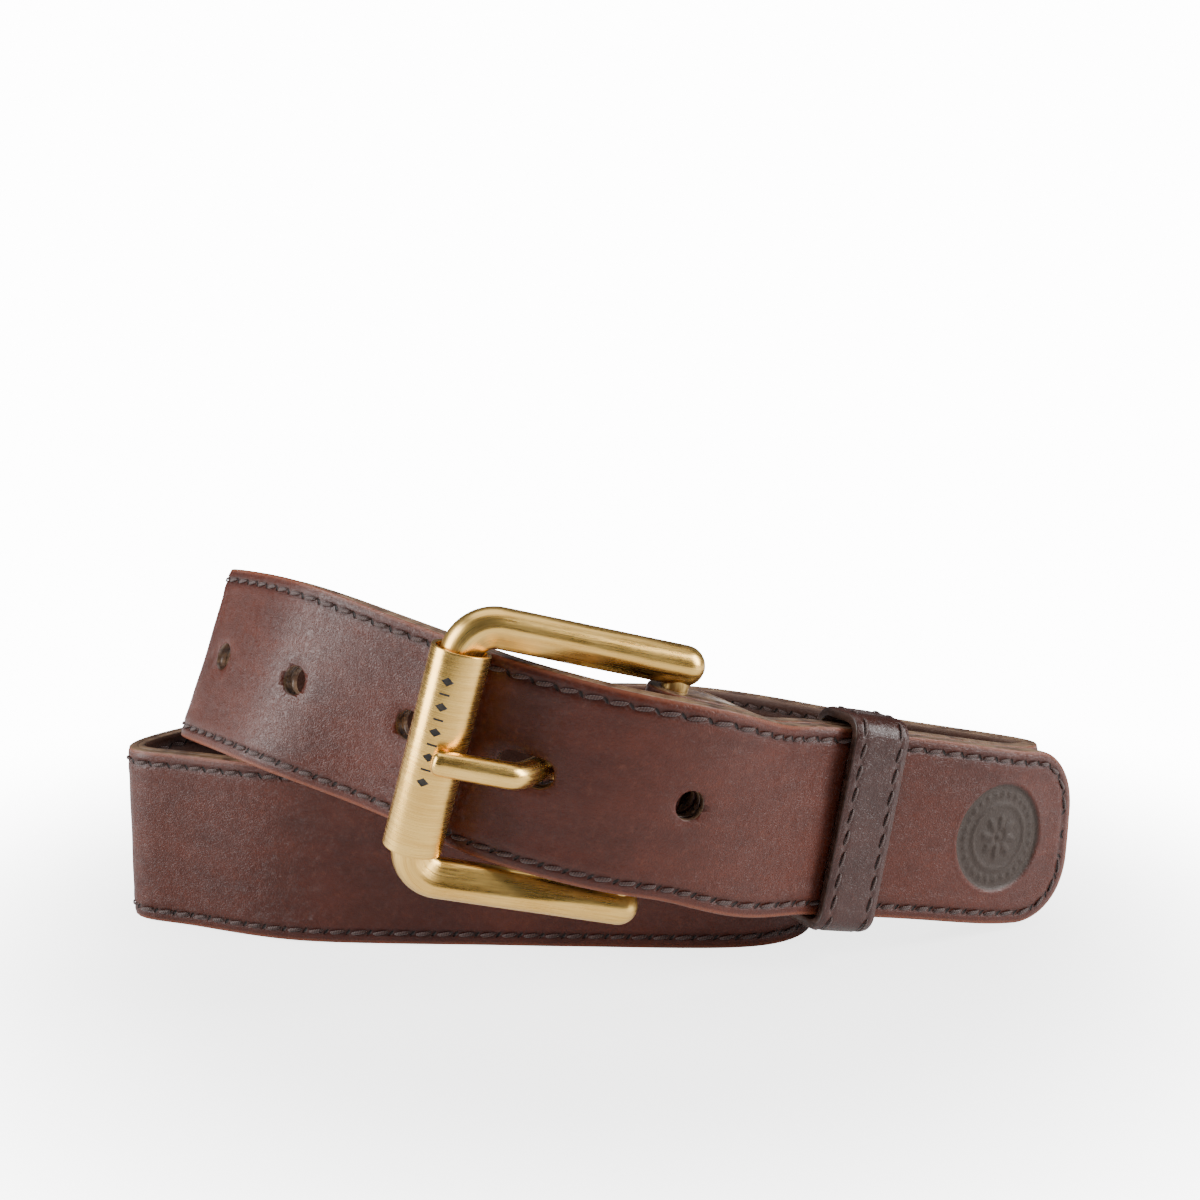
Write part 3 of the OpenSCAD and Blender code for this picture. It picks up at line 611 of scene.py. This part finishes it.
def fold_frames():
    """Frames of the grain layer behind the pivot bar: the turned-back end closing onto the strap, then half
    a turn round the bar, each with the middle on the layer's inner face."""
    k = np.arange(16, 0, -1) / 16
    s = START_S + TURN_BACK * k
    mid, along, across, out = station(s)
    turn_from = (BAR_C - START[0]) @ START[3] - FOLD_R
    off = turn_from + (-STRAP_T / 2 - LAYER_GAP - turn_from) * smooth(2 * k)
    back = (mid + out * off[:, None], -along, across, -out)
    a = np.deg2rad(-90 + 180 * np.arange(0, 21) / 21)[:, None]
    o = START[3] * np.sin(a) - START[1] * np.cos(a)
    acr = np.broadcast_to(START[2], o.shape)
    arc = (BAR_C + o * FOLD_R, np.cross(acr, o), acr, o)
    return [np.concatenate([b, c]) for b, c in zip(back, arc)], len(k) + 21


def outer_leather():
    """The grain layer from the turned-back end round the fold to the tip, punched."""
    s = strap_stations(1.35, 0.36)
    (fm, fa, fc, fo), count = fold_frames()
    fm = fm - fo * GRAIN_IN
    body = station(s)
    frames = [np.concatenate([a, b]) for a, b in zip((fm, fa, fc, fo), body)]
    all_s = np.r_[START_S - np.arange(count, 0, -1) * 0.9, s]
    lead = smooth((all_s - START_S - 2) / 20)
    strap = strap_layer("belt_leather", all_s, 92, GRAIN_IN, STRAP_T / 2, grain_face, True, [GRAIN, EDGE],
                        frames, lead)
    cut(strap, hole_cutter())
    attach(strap, "strap")
    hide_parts("grain_strap")


def inner_face(s, v):
    """Height of the lining's shown face in mm: a stitch groove, a rounded shoulder and a slow unevenness."""
    _, off = stitch_map(s, v)
    return (-0.15 * np.exp(-(off / 0.5) ** 2) - 0.22 * smooth((off - 0.7) / 1.6) - 0.05
            + 0.03 * np.sin(s * 0.19) * np.sin(v * 0.3 + s * 0.07))


def inner_leather():
    """The lining from behind the fold to the tip, punched."""
    s = strap_stations(1.6, 1.6)
    s = s[s > START_S + 9.4]
    lining = strap_layer("belt_lining", s, 40, -STRAP_T / 2, LINING_OUT, inner_face, False, [LINING, EDGE])
    cut(lining, hole_cutter())
    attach(lining, "strap")
    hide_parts("lining_strap")


# --- Stitches ---------------------------------------------------------------------------------------------
def slugs(name, place, count, length, width, height, slant=0.18):
    """Stitches: each a short rounded thread that dips into its hole at both ends. place(k, x, y) gives the
    point and outward direction of stitch k at x along and y across it; a superellipse of x shapes its
    height and width."""
    rings, sides = 7, 6
    x = np.linspace(-1, 1, rings)
    a = np.arange(sides) * 2 * np.pi / sides
    bell = (1 - np.abs(x) ** 3.2) ** 0.6
    k, i, j = np.meshgrid(np.arange(count), np.arange(rings), np.arange(sides), indexing="ij")
    wide = np.maximum(bell, 0.25)[i]
    px = x[i] * length / 2
    py = width / 2 * wide * np.cos(a[j]) + px * slant
    pz = height * (bell[i] - 0.42) + height * 0.5 * wide * np.sin(a[j])
    spot, out = place(k.ravel(), px.ravel(), py.ravel())
    pts = (spot + out * pz.ravel()[:, None]) * MM
    base = grid_faces(rings, sides)
    ends = [list(range(sides)), list(range((rings - 1) * sides, rings * sides))[::-1]]
    quads = (base[None] + (np.arange(count) * rings * sides)[:, None, None]).reshape(-1, 4)
    faces = quads.tolist() + [[v + c * rings * sides for v in e] for c in range(count) for e in ends]
    uv = np.stack([px.ravel() / 2, j.ravel() / sides], -1)
    return make_mesh(name, pts, faces, {"thread": uv}, [THREAD])


def edge_path(run):
    """(s, v, direction) on the stitch path at a distance run from its start at the buckle: along the upper
    row, round the tip and back along the lower row."""
    row, r = STRAP_W / 2 - STITCH_IN, TIP_R - STITCH_IN
    first = START_S + STITCH_FROM
    straight, arc, end = TIP_REACH - TIP_R - first, np.pi / 2 * r, 2 * (row - r)
    total = 2 * straight + 2 * arc + end
    lower = run > total / 2
    t = np.where(lower, total - run, run)
    a = np.clip((t - straight) / r, 0, np.pi / 2)
    past = np.maximum(t - straight - arc, 0)
    s = np.where(t < straight, first + t, first + straight + r * np.sin(a))
    v = np.where(t < straight, row, (row - r) + r * np.cos(a)) - past
    ds, dv = np.cos(a), -np.sin(a)
    return s, np.where(lower, -v, v), np.where(lower, -ds, ds), dv, total


def edge_stitches(name, side, replaces):
    """Stitches of one face of the strap, at one pitch along the whole path."""
    face, depth = STRAP_T / 2, 0.20 if side > 0 else 0.15
    total = float(edge_path(np.zeros(1))[4])
    first = (START_S + STITCH_FROM) / STITCH_PITCH
    begin = (np.ceil(first) - first) * STITCH_PITCH
    half = total / 2
    runs = begin + STITCH_PITCH * np.arange(int((half - begin) / STITCH_PITCH))
    runs = np.r_[runs, total - runs]

    def place(k, x, y):
        s, v, ds, dv, _ = edge_path(runs[k])
        mid, _, across, out = station(s + ds * x - dv * y)
        return mid + across * (v + dv * x + ds * y)[:, None] + out * (side * (face - depth + 0.07)), out * side
    piece = slugs(name, place, len(runs), 2.95, 0.72, 0.30)
    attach(piece, "strap")
    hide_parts(*replaces)


def fold_stitches():
    """Two rows of stitches across the turned-back end."""
    rows, per = (13.75, 19.25), 8

    def place(k, x, y):
        s = START_S + np.where(k < per, rows[0], rows[1])
        mid, _, across, out = station(s - y)
        v = (k % per - (per - 1) / 2) * 3.5 + x
        return mid + across * v[:, None] - out * (STRAP_T / 2 + LAYER_GAP + GRAIN_T + 0.06), -out
    piece = slugs("fold_stitches", place, 2 * per, 2.7, 0.7, 0.3)
    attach(piece, "strap")
    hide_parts("fold_stitching")


# --- Buckle -----------------------------------------------------------------------------------------------
def frame_path(n_side=60, n_corner=26, n_front=24):
    """The frame's middle line in the buckle's plane: down one side, round a corner, across, round and back,
    with the direction that looks out of the loop and the share of the way from corner to end on the
    sides."""
    out = FRAME_W / 2 + SIDE_D / 2
    x_end = SIDE_D / 2 + 0.6 - SIDE_D / 2    # the rounded end starts here, past the pivot bar
    xs = np.linspace(x_end, -BAR_SPAN + CORNER_R, n_side)
    side = np.stack([xs, np.full(n_side, out)], -1)
    a = np.linspace(0, np.pi / 2, n_corner)[1:]
    corner = np.stack([-BAR_SPAN + CORNER_R - CORNER_R * np.sin(a), out - CORNER_R + CORNER_R * np.cos(a)], -1)
    front = np.stack([np.full(n_front, -BAR_SPAN), np.linspace(out - CORNER_R, 0, n_front)], -1)[1:]
    half = np.concatenate([side, corner, front])
    look = np.concatenate([np.tile([0.0, 1.0], (n_side, 1)), np.stack([-np.sin(a), np.cos(a)], -1),
                           np.tile([-1.0, 0.0], (n_front - 1, 1))])
    share = np.r_[np.linspace(1, 0, n_side), np.zeros(len(half) - n_side)]
    flip = np.array([1, -1])
    return (np.concatenate([half, half[-2::-1] * flip]), np.concatenate([look, look[-2::-1] * flip]),
            np.concatenate([share, share[-2::-1]]))


def buckle_bars():
    """The cast frame: a round section carried along the U, with a soft facet on its inner front side that
    fades towards the ends, and a rounded end."""
    path, look, share = frame_path()
    sides = 56
    a = np.arange(sides) * 2 * np.pi / sides
    r0 = SIDE_D / 2
    facet = np.deg2rad(122)
    depth = 0.80 + 0.20 * smooth((share - 0.25) / 0.7)
    cosf = np.cos(a[None, :] - facet)
    flat = depth[:, None] / np.maximum(cosf, 0.05)
    r = np.where(cosf > 0.05, -np.log(np.exp(-18 * np.minimum(flat, 3)) + np.exp(-18.0)) / 18, 1.0)
    r = r0 * np.minimum(r, 1.0)
    pos = np.concatenate([path, np.zeros((len(path), 1))], 1)
    lookz = np.concatenate([look, np.zeros((len(look), 1))], 1)
    spoke = np.cos(a)[None, :, None] * lookz[:, None] + np.sin(a)[None, :, None] * UP
    rings = pos[:, None] + r[..., None] * spoke
    caps = []
    for end in (0, -1):
        way = unit(pos[end] - pos[1 if end == 0 else -2])
        t = np.linspace(0, 1, 10)[1:] * np.pi / 2 * 0.985
        shrunk = (rings[end] - pos[end])[None] * np.cos(t)[:, None, None]
        caps.append(pos[end] + shrunk + way * (r0 * np.sin(t))[:, None, None])
    rings = np.concatenate([caps[0][::-1], rings, caps[1]])
    run = np.r_[0, np.cumsum(np.linalg.norm(np.diff(rings.mean(1), axis=0), axis=1))]
    uv = np.stack(np.broadcast_arrays(run[:, None] / 10, a[None, :] * r0 / 10), -1)
    piece = tube("buckle_bars", in_buckle(rings), {"metal": uv}, [FRAME_BRASS])
    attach(piece, "frame")
    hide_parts("buckle_frame")


def roller_sheet():
    """Sheet rolled into a tube: a rectangle with rounded corners carried round the axis from one side of
    the seam to the other."""
    length = FRAME_W - 2 * ROLLER_END
    ro, ri, edge = ROLLER_D / 2, ROLLER_D / 2 - ROLLER_T, 0.22
    t = np.linspace(0, np.pi / 2, 5)
    prof = [(ri + edge - edge * np.cos(t), -length / 2 + edge - edge * np.sin(t)),
            (ro - edge + edge * np.sin(t), -length / 2 + edge - edge * np.cos(t)),
            (ro - edge + edge * np.cos(t), length / 2 - edge + edge * np.sin(t)),
            (ri + edge - edge * np.sin(t), length / 2 - edge + edge * np.cos(t))]
    rad, y = np.concatenate([p[0] for p in prof]), np.concatenate([p[1] for p in prof])
    gap = 0.18 / ro
    ang = np.linspace(-np.pi / 2 + gap, 1.5 * np.pi - gap, 145)
    x = -BAR_SPAN + rad[None, :] * np.cos(ang)[:, None]
    z = rad[None, :] * np.sin(ang)[:, None]
    rings = np.stack([x, np.broadcast_to(y[None, :], x.shape), z], -1)
    uv = np.stack(np.broadcast_arrays(ang[:, None] * ro / 10, y[None, :] / 10), -1)
    piece = tube("roller_sheet", in_buckle(rings), {"metal": uv}, [ROLLER_BRASS])
    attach(piece, "roller")
    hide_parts("roller")


def roller_marks():
    """A plain row of black-filled lozenges and bars on the roller: thin tiles bent to its radius."""
    rows, points, faces = np.linspace(-8.4, 8.4, 9), [], []
    rad, facing = ROLLER_D / 2, np.deg2rad(112)
    for k, y0 in enumerate(rows):
        bar = k % 2 == 1
        hw, hl = (0.85, 0.16) if bar else (1.05, 0.72)
        q, p = np.meshgrid(np.linspace(-1, 1, 7), np.linspace(-1, 1, 5))
        width = hw * np.ones_like(q) if bar else hw * (1 - np.abs(p) * 0.97)
        a = facing + q * width / rad
        y = 4.0 + y0 + p * hl
        for lift in (-0.06, 0.025):
            tile = np.stack([-BAR_SPAN + (rad + lift) * np.cos(a), y, (rad + lift) * np.sin(a)], -1)
            points.append(tile.reshape(-1, 3))
        base = 70 * k
        quad = grid_faces(5, 7, wrap_n=False)
        faces += (quad[:, ::-1] + base).tolist() + (quad + base + 35).tolist()
        rim = list(range(0, 7)) + list(range(13, 35, 7)) + list(range(33, 27, -1)) + list(range(21, 0, -7))
        faces += [[base + p, base + q, base + 35 + q, base + 35 + p] for p, q in zip(rim, rim[1:] + rim[:1])]
    paint = Paint("black_fill", roughness=0.45)
    wear = paint.noise(900.0).between(0.4, 0.7)
    paint.give("Base Color", paint.blend(wear, (0.006, 0.005, 0.004), (0.03, 0.022, 0.015)))
    piece = make_mesh("roller_marks", in_buckle(np.concatenate(points)), faces, None, [paint.material])
    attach(piece, "roller")


def prong_bar():
    """The prong: an ellipse carried along its cranked middle line, which climbs by a smooth step from
    behind the strap to over the roller, with a rounded tip, and a ring with rounded rims as its eye."""
    hole_x = (HOLE[0] - BAR_C) @ BAR_X - 1.6
    top, low, climb = ROLLER_D / 2 + PRONG_D / 2 + 0.15, -1.5, 4.6
    eye_r = PIVOT_D / 2 + EYE_GAP + EYE_T
    x0, x1 = -BAR_SPAN - PRONG_REACH, -eye_r + 0.8

    def height(x):
        return top + (low - top) * smooth((x - hole_x + climb) / (2 * climb))
    r = PRONG_D / 2
    t = np.linspace(0, 1, 9)
    x = np.r_[x0 + 1.5 * (1 - np.cos(t * np.pi / 2)), np.linspace(x0 + 1.5, x1, 90)[1:]]
    scale = np.where(x < x0 + 1.5, np.sqrt(np.maximum(1 - ((x0 + 1.5 - x) / 1.5) ** 2, 0.0)) * 0.65 + 0.35, 1.0)
    scale = scale * (0.93 + 0.07 * smooth((x - x0) / 12))
    slope = (height(x + 0.1) - height(x - 0.1)) / 0.2
    n = unit(np.stack([-slope, 0 * x, 1 + 0 * x], -1))
    a = np.arange(36) * 2 * np.pi / 36
    mid = np.stack([x, 0 * x, height(x)], -1)
    squash = 1 - 0.10 * smooth((x0 + 10 - x) / 10)
    rings = (mid[:, None] + n[:, None] * (r * scale * squash)[:, None, None] * np.cos(a)[None, :, None]
             - np.array([0.0, 1.0, 0.0]) * (r * scale)[:, None, None] * np.sin(a)[None, :, None])
    uv = np.stack(np.broadcast_arrays(x[:, None] / 10, a[None, :] * r / 10), -1)
    bar = tube("prong_bar", in_buckle(rings), {"metal": uv}, [PRONG_BRASS])
    w, ro, ri, e = PRONG_D / 2, eye_r, PIVOT_D / 2 + EYE_GAP, 0.45
    q = np.linspace(0, np.pi / 2, 5)
    rad = np.r_[[ri, ri], ro - e + e * np.sin(q), ro - e + e * np.cos(q)]
    y = np.r_[[w, -w], -w + e - e * np.cos(q), w - e + e * np.sin(q)]
    ang = np.arange(64) * 2 * np.pi / 64
    ring = np.stack([rad[None] * np.cos(ang)[:, None], np.broadcast_to(y, (64, len(y))),
                     rad[None] * np.sin(ang)[:, None]], -1)
    eye_uv = np.stack(np.broadcast_arrays(ang[:, None] * ro / 10, y[None, :] / 10), -1)
    eye_quads = grid_faces(64, len(y), wrap_m=True)
    eye = make_mesh("prong_eye", in_buckle(ring), eye_quads, {"metal": eye_uv}, [PRONG_BRASS])
    for piece in (bar, eye):
        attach(piece, "prong")
    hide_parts("prong")
    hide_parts("prong")


# --- Keeper -----------------------------------------------------------------------------------------------
KEEPER_F = [f[0] for f in station(KEEPER_AT)]
KEEPER_O = KEEPER_F[0] - KEEPER_F[3] * LAYER_PITCH / 2


def keeper_path(n):
    """A rectangle with rounded corners round both layers of the strap: places (across, out) and outward
    directions at even steps, with its length."""
    a = (STRAP_W + 2 * KEEPER_GAP + KEEPER_T) / 2
    b = (LAYER_PITCH + STRAP_T + 2 * KEEPER_GAP + KEEPER_T) / 2
    r = KEEPER_R + KEEPER_T / 2
    parts = [2 * (a - r), np.pi / 2 * r, 2 * (b - r), np.pi / 2 * r]
    total = 2 * sum(parts)
    t = (np.arange(n) / n * total + parts[0] / 2) % total
    half = t >= total / 2
    t = np.where(half, t - total / 2, t)
    e = np.cumsum([0] + parts)
    p, d = np.zeros((n, 2)), np.zeros((n, 2))
    for k in range(4):
        m = (t >= e[k]) & (t < e[k + 1] + 1e-9)
        q = t[m] - e[k]
        if k == 0:
            p[m], d[m] = np.stack([q - (a - r), 0 * q + b], -1), [0, 1]
        elif k == 2:
            p[m], d[m] = np.stack([0 * q + a, (b - r) - q], -1), [1, 0]
        else:
            ang = q / r if k == 1 else q / r + np.pi / 2
            d[m] = np.stack([np.sin(ang), np.cos(ang)], -1)
            p[m] = [a - r, (b - r) if k == 1 else -(b - r)] + d[m] * r
    sign = np.where(half, -1.0, 1.0)[:, None]
    return p * sign, d * sign, total


def keeper_point(w, p, d, t):
    """A point of the keeper: w along the strap, on path point p, t out of the loop's middle surface."""
    q = p + d * t[..., None]
    return KEEPER_O + KEEPER_F[1] * w[..., None] + KEEPER_F[2] * q[..., :1] + KEEPER_F[3] * q[..., 1:]


def keeper_face(w):
    """Height across the keeper in mm: a low crown, a groove under each stitch row and rolled edges."""
    row = KEEPER_W / 2 - KEEPER_ROW
    off = np.abs(w) - row
    crown = 0.06 * (1 - (w / (KEEPER_W / 2)) ** 2)
    return crown - 0.16 * np.exp(-(off / 0.45) ** 2) - 0.22 * smooth((off - 0.6) / 1.2) - 0.05


def keeper_band():
    """The leather loop: a flat section with rounded edges and stitch grooves carried round the path."""
    n = 220
    p, d, _ = keeper_path(n)
    hw, ht, e = KEEPER_W / 2, KEEPER_T / 2, 0.35
    w_top = np.linspace(-(hw - e), hw - e, 36)
    turn = np.linspace(0, np.pi / 2, 5)[1:]
    w_rim, t_rim = hw - e + e * np.sin(turn), ht + keeper_face(np.array([hw - e])) - e + e * np.cos(turn)
    w = np.r_[w_top, w_rim, [hw, hw - 0.2, -(hw - 0.2), -hw], -w_rim[::-1]]
    t = np.r_[ht + keeper_face(w_top), t_rim, [-ht + 0.2, -ht, -ht, -ht + 0.2], t_rim[::-1]]
    wide, thick = np.broadcast_to(w, (n, len(w))), np.broadcast_to(t, (n, len(t)))
    pts = keeper_point(wide, p[:, None], d[:, None], thick) * MM
    marks = np.ones(len(w), int)
    marks[:37] = 0
    marks[-2:] = 0
    quads = grid_faces(n, len(w), wrap_m=True)
    piece = make_mesh("keeper_band", pts, quads, None, [KEEPER, KEEPER_EDGE], np.tile(marks, n))
    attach(piece, "keeper")
    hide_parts("keeper_loop")


def keeper_stitches():
    """Two rows of stitches round the loop."""
    many = 24
    step = 2000
    p, d, total = keeper_path(step)
    row = KEEPER_W / 2 - KEEPER_ROW

    def place(k, x, y):
        at = np.round(((k % many) + 0.5 + x / (total / many)) * step / many).astype(int) % step
        w = np.where(k < many, row, -row) + y
        rise = KEEPER_T / 2 - 0.02
        spot = keeper_point(w, p[at], d[at], np.full(len(k), rise))
        return spot, KEEPER_F[2] * d[at][:, :1] + KEEPER_F[3] * d[at][:, 1:]
    piece = slugs("keeper_stitches", place, 2 * many, total / many * 0.74, 0.66, 0.26)
    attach(piece, "keeper")
    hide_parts("keeper_stitching")


# --- Light, floor and camera ------------------------------------------------------------------------------
def studio():
    """A pale floor, a dim surround, and soft boxes at the left, the right and overhead. To the camera alone
    the surround and the floor glow white, the floor less so near the belt."""
    floor_half = 3.0
    corners = ((-1, -1), (1, -1), (1, 1), (-1, 1))
    points = np.array([[x * floor_half, y * floor_half, -0.0002] for x, y in corners])
    floor = make_mesh("floor", points, [[0, 1, 2, 3]])
    paint = Paint("pale_floor", roughness=0.6, base_color=(0.93, 0.93, 0.93, 1.0))
    floor.data.materials.append(paint.material)
    glow, mixed = paint.tree.nodes.new("ShaderNodeEmission"), paint.tree.nodes.new("ShaderNodeMixShader")
    seen = paint.node("ShaderNodeLightPath", {})
    glow.inputs[1].default_value = 14.0
    away = paint.node("ShaderNodeVectorMath", {"operation": "LENGTH"}, paint.place(), out=1)
    paint.put(mixed.inputs[0], seen * (away.between(0.07, 0.22) * 0.78 + 0.21))
    paint.tree.links.new(paint.bsdf.outputs[0], mixed.inputs[1])
    paint.tree.links.new(glow.outputs[0], mixed.inputs[2])
    paint.tree.links.new(mixed.outputs[0], paint.tree.nodes["Material Output"].inputs[0])
    world = bpy.data.worlds.new("surround")
    world.use_nodes = True
    tree = world.node_tree
    dim, bright = tree.nodes["Background"], tree.nodes.new("ShaderNodeBackground")
    rays, share = tree.nodes.new("ShaderNodeLightPath"), tree.nodes.new("ShaderNodeMixShader")
    dim.inputs[0].default_value, dim.inputs[1].default_value = (0.95, 0.97, 1.0, 1.0), 0.12
    bright.inputs[0].default_value, bright.inputs[1].default_value = (1.0, 1.0, 1.0, 1.0), 14.0
    tree.links.new(rays.outputs["Is Camera Ray"], share.inputs[0])
    tree.links.new(dim.outputs[0], share.inputs[1])
    tree.links.new(bright.outputs[0], share.inputs[2])
    tree.links.new(share.outputs[0], tree.nodes["World Output"].inputs[0])
    bpy.context.scene.world = world
    boxes = (("left_box", (-0.85, -0.20, 0.36), (-0.03, -0.02, 0.03), (0.5, 0.8), 13.0),
             ("right_box", (0.85, -0.18, 0.46), (0.06, -0.02, 0.03), (0.4, 0.7), 13.0),
             ("top_box", (0.0, 0.15, 1.0), (0.0, 0.0, 0.0), (1.0, 0.7), 4.5))
    for name, spot, aim, size, power in boxes:
        lamp = bpy.data.lights.new(name, "AREA")
        lamp.shape, lamp.size, lamp.size_y, lamp.energy = "RECTANGLE", *size, power
        obj = bpy.data.objects.new(name, lamp)
        obj.location = spot
        z = unit(np.array(spot) - np.array(aim))
        x = unit(np.cross(UP if abs(z[2]) < 0.95 else [0.0, 1.0, 0.0], z))
        obj.rotation_euler = Matrix(np.stack([x, np.cross(z, x), z], 1).tolist()).to_euler()
        bpy.context.scene.collection.objects.link(obj)


def camera():
    """Low and close in front of the buckle, looking slightly down, with a hair of roll."""
    down, roll = np.deg2rad([8.45, 0.30])
    ahead = np.array([0.0, np.cos(down), -np.sin(down)])
    up = np.array([0.0, np.sin(down), np.cos(down)])
    right = np.array([1.0, 0.0, 0.0])
    x, y = right * np.cos(roll) + up * np.sin(roll), up * np.cos(roll) - right * np.sin(roll)
    lens = bpy.data.cameras.new("camera")
    lens.sensor_width, lens.lens, lens.clip_start = 36.0, 42.16, 0.01
    obj = bpy.data.objects.new("camera", lens)
    obj.location = (-0.0002, -0.2703, 0.1028)
    obj.rotation_euler = Matrix(np.stack([x, y, -ahead], 1).tolist()).to_euler()
    bpy.context.scene.collection.objects.link(obj)
    bpy.context.scene.camera = obj


camera()
studio()
FRAME_BRASS = brushed_brass("frame_brass", 1.2, 26.0)
ROLLER_BRASS = brushed_brass("roller_brass", 1.0, 34.0, 0.27)
PRONG_BRASS = brushed_brass("prong_brass", 1.4, 22.0, 0.26)
outer_leather()
inner_leather()
edge_stitches("outer_stitches", 1, ["outer_stitching"])
edge_stitches("inner_stitches", -1, ["inner_stitching"])
fold_stitches()
buckle_bars()
roller_sheet()
roller_marks()
prong_bar()
keeper_band()
keeper_stitches()
for node, paint in (("pivot_bar", plain_brass("pivot_brass")), ("keeper_staple", drawn_wire("staple_wire"))):
    nodes[node].data.materials.clear()
    nodes[node].data.materials.append(paint)
